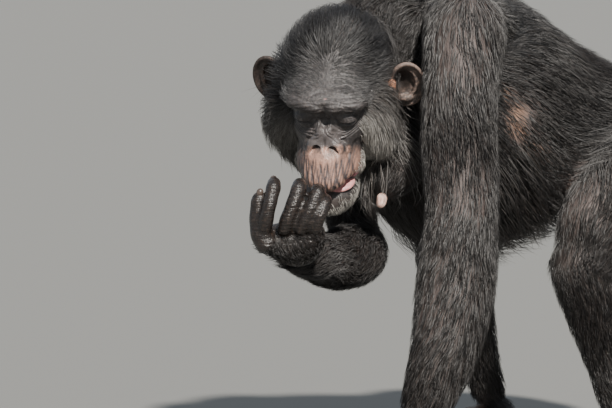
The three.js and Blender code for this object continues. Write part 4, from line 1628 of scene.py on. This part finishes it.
clouds = makeClouds()
skinLook = {
    "body": (0.045, 0.036, 0.033),
    "bodyPale": (0.11, 0.085, 0.078),
    "tan": (0.3, 0.18, 0.125),
    "face": (0.035, 0.031, 0.031),
    "faceWorn": (0.08, 0.07, 0.067),
    "nose": (0.095, 0.083, 0.083),
    "noseTan": (0.46, 0.26, 0.19),
    "lip": (0.4, 0.23, 0.17),
    "lipDark": (0.07, 0.055, 0.055),
    "ear": (0.075, 0.06, 0.054),
    "earPale": (0.25, 0.175, 0.145),
    # painted shade: near black in the hollow of the ear
    "concha": (0.02, 0.014, 0.012),
    "tragus": (0.55, 0.27, 0.17),
    "hand": (0.014, 0.011, 0.01),
    "handWorn": (0.042, 0.03, 0.024),
    "inside": (0.62, 0.28, 0.3),
    "spot": (0.6, 0.3, 0.28),
}


# Scales of the patterns on the skin, and how much each mark changes its roughness
skinGrain = {"broad": 28, "fine": 260, "grain": 900, "lipStreaksAndGrooveShade": 150, "creases": 210}
skinGloss = {"hand": -0.33, "nose": -0.16, "face": -0.12, "inside": -0.2}


def skinMaterial():
    made, nodeTree, shader = material("skin", skinLook["body"], 0.5)
    t = Tree(nodeTree)

    def patchy(mark, scale, low, high):
        return t.math("MULTIPLY", t.mark(mark), t.clouds(skinGrain[scale], low, high))

    def mixed(low, high, dark, pale):
        return t.mix(t.clouds(skinGrain["fine"], low, high), skinLook[dark], skinLook[pale])

    broad = t.math("MULTIPLY", t.clouds(skinGrain["broad"], 0.45, 0.7), 0.3)
    pale = t.math("MULTIPLY_ADD", t.mark("pale"), 0.7, broad)
    streaks = t.streaks(skinGrain["lipStreaksAndGrooveShade"], 3, 0.6, (3.2, 3.2, 0.5))
    # Dark streaks on the lip at random, with painted shade laid into the carved grooves over the upper lip
    lipStreaksAndGrooveShade = t.math("MULTIPLY_ADD", t.ramp(streaks, 0.48, 0.72), 0.5, t.mark("grooveShade"))
    ear = mixed(0.46, 0.7, "ear", "earPale")
    ear = t.mix(t.math("MULTIPLY", t.mark("rim"), 0.4), ear, skinLook["earPale"])
    # painted shade in the ear's hollow
    ear = t.mix(t.mark("concha"), ear, skinLook["concha"])
    colour = t.mix(pale, skinLook["body"], skinLook["bodyPale"])
    layers = [
        (patchy("tan", "broad", 0.3, 0.55), skinLook["tan"]),
        (t.mark("face"), mixed(0.48, 0.7, "face", "faceWorn")),
        (t.mark("nose"), mixed(0.35, 0.65, "faceWorn", "nose")),
        (patchy("noseTan", "fine", 0.3, 0.6), skinLook["noseTan"]),
        (t.mark("lip"), t.mix(lipStreaksAndGrooveShade, skinLook["lip"], skinLook["lipDark"])),
        (t.mark("ear"), ear),
        (t.math("MULTIPLY", t.mark("tragus"), 0.85), skinLook["tragus"]),
        (t.mark("hand"), mixed(0.5, 0.72, "hand", "handWorn")),
        (t.mark("inside"), skinLook["inside"]),
        (t.mark("spot"), skinLook["spot"]),
    ]
    for share, layer in layers:
        colour = t.mix(share, colour, layer)
    t.put(shader.inputs["Base Color"], colour)
    rough = 0.55
    for mark, change in skinGloss.items():
        rough = t.math("MULTIPLY_ADD", t.mark(mark), change, rough)
    fine = t.clouds(skinGrain["fine"], 0, 1)
    t.put(shader.inputs["Roughness"], t.math("MULTIPLY_ADD", fine, 0.12, rough))
    creases = t.streaks(skinGrain["creases"], 2, 0.5, (0.3, 0.3, 2))
    creases = t.math("MULTIPLY", creases, t.mark("hand"))
    grain = t.math("MULTIPLY", t.clouds(skinGrain["grain"], 0, 1), 0.5)
    height = t.math("MULTIPLY_ADD", fine, 1.6, grain)
    t.bump(shader, t.math("MULTIPLY_ADD", creases, 3, height), 0.55, 0.0012)
    shader.inputs["Subsurface Weight"].default_value = 0.04
    shader.inputs["Subsurface Radius"].default_value = (0.004, 0.002, 0.001)
    return made


hairLook = {
    "root": (0.006, 0.005, 0.005),
    "black": (0.016, 0.016, 0.018),
    "brown": (0.11, 0.075, 0.052),
    # greyAndSheen: grey hairs, and painted sheen where the coat catches light
    "greyAndSheen": (0.28, 0.275, 0.27),
    "white": (0.62, 0.59, 0.54),
}


def hairMaterial():
    made, nodeTree, shader = material("coat hair", hairLook["black"], 0.42)
    t = Tree(nodeTree)
    colour = t.mix(t.mark("along"), hairLook["root"], hairLook["black"])
    for mark in ("brown", "greyAndSheen", "white"):
        colour = t.mix(t.mark(mark), colour, hairLook[mark])
    t.put(shader.inputs["Base Color"], colour)
    t.put(shader.inputs["Roughness"], t.math("MULTIPLY_ADD", t.mark("tone"), 0.25, 0.4))
    return made


# Tongue, nipples and nails: two colours in clouds over a slightly rough surface
def plainMaterial(name):
    look = looks[name]
    made, nodeTree, shader = material(name, look["colour"], look["roughness"])
    t = Tree(nodeTree)
    colour = t.mix(t.clouds(look["scale"], 0.4, 0.65), look["colour"], look["worn"])
    t.put(shader.inputs["Base Color"], colour)
    t.bump(shader, t.clouds(look["scale"] * 3, 0.2, 0.8), 0.5, look["relief"])
    return made


eyeLook = {
    "pupil": (0.003, 0.003, 0.003),
    "iris": ((0.16, 0.06, 0.02), (0.3, 0.13, 0.04)),
    "white": (0.06, 0.035, 0.025),
    "pupilEdge": (0.2, 0.24),  # angles from the middle of the pupil
    "irisEdge": (0.5, 0.6),
}


def eyeMaterial():
    made, nodeTree, shader = material("eye", eyeLook["white"], 0.06)
    t = Tree(nodeTree)
    angle = t.mark("fromPupil")
    iris = t.mix(t.clouds(900, 0.4, 0.6), *eyeLook["iris"])
    colour = t.mix(t.ramp(angle, *eyeLook["pupilEdge"]), eyeLook["pupil"], iris)
    colour = t.mix(t.ramp(angle, *eyeLook["irisEdge"]), colour, eyeLook["white"])
    t.put(shader.inputs["Base Color"], colour)
    return made


looks = {
    "tongue": {
        "colour": (0.5, 0.21, 0.21), "worn": (0.62, 0.32, 0.3), "roughness": 0.3,
        "scale": 320, "relief": 0.0006,
    },
    "nipple": {
        "colour": (0.7, 0.43, 0.35), "worn": (0.8, 0.58, 0.5), "roughness": 0.5,
        "scale": 260, "relief": 0.0005,
    },
    "nail": {
        "colour": (0.045, 0.032, 0.028), "worn": (0.09, 0.07, 0.058), "roughness": 0.25,
        "scale": 180, "relief": 0.0001,
    },
}
floorLook = {"colour": (0.2, 0.2, 0.19), "size": 90}
light = {
    "sky": (0.82, 0.9, 1.0),
    "skyStrength": 0.5,
    "sun": 8,
    "sunColour": (1, 0.95, 0.88),
    "sunWay": (-0.71, 0.3, -0.64),
    "sunSpread": 3,
}


def finishPiece(piece, nodes, look):
    piece.data.transform(toScene)
    piece.data.materials.clear()
    piece.data.materials.append(look)
    piece.data.polygons.foreach_set("use_smooth", np.ones(len(piece.data.polygons), bool))
    piece.data.update()
    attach(piece, "root")
    if nodes:
        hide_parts(*nodes)


def addStudio():
    bpy.ops.mesh.primitive_plane_add(size=floorLook["size"])
    floor = bpy.context.object
    floor.name = "floor"
    floor.data.materials.append(material("floor", floorLook["colour"], 0.8)[0])
    world = bpy.data.worlds.new("studio")
    bpy.context.scene.world = world
    world.use_nodes = True
    sky = world.node_tree.nodes["Background"]
    sky.inputs["Color"].default_value = (*light["sky"], 1)
    sky.inputs["Strength"].default_value = light["skyStrength"]
    sun = bpy.data.lights.new("sun", "SUN")
    sun.energy = light["sun"]
    sun.color = light["sunColour"]
    sun.angle = math.radians(light["sunSpread"])
    lamp = bpy.data.objects.new("sun", sun)
    bpy.context.collection.objects.link(lamp)
    lamp.rotation_mode = "QUATERNION"
    lamp.rotation_quaternion = Vector(light["sunWay"]).to_track_quat("-Z", "Y")


skinNodes = [
    name
    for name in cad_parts
    if not name.startswith("eye") and not name.startswith("nipple") and name != "tongue"
]
hair = hairMaterial()
finishPiece(makeEyes(), ["eye_left", "eye_right"], eyeMaterial())
finishPiece(makeTongue(), ["tongue"], plainMaterial("tongue"))
finishPiece(makeNipples(), ["nipple_left", "nipple_right"], plainMaterial("nipple"))
finishPiece(makeNails(), [], plainMaterial("nail"))
setMarks(skin, skinMarks(coordinates(skin)))
finishPiece(skin, skinNodes, skinMaterial())
for piece, nodes in coatPieces:
    finishPiece(piece, nodes, hair)
addStudio()
print("looks given")
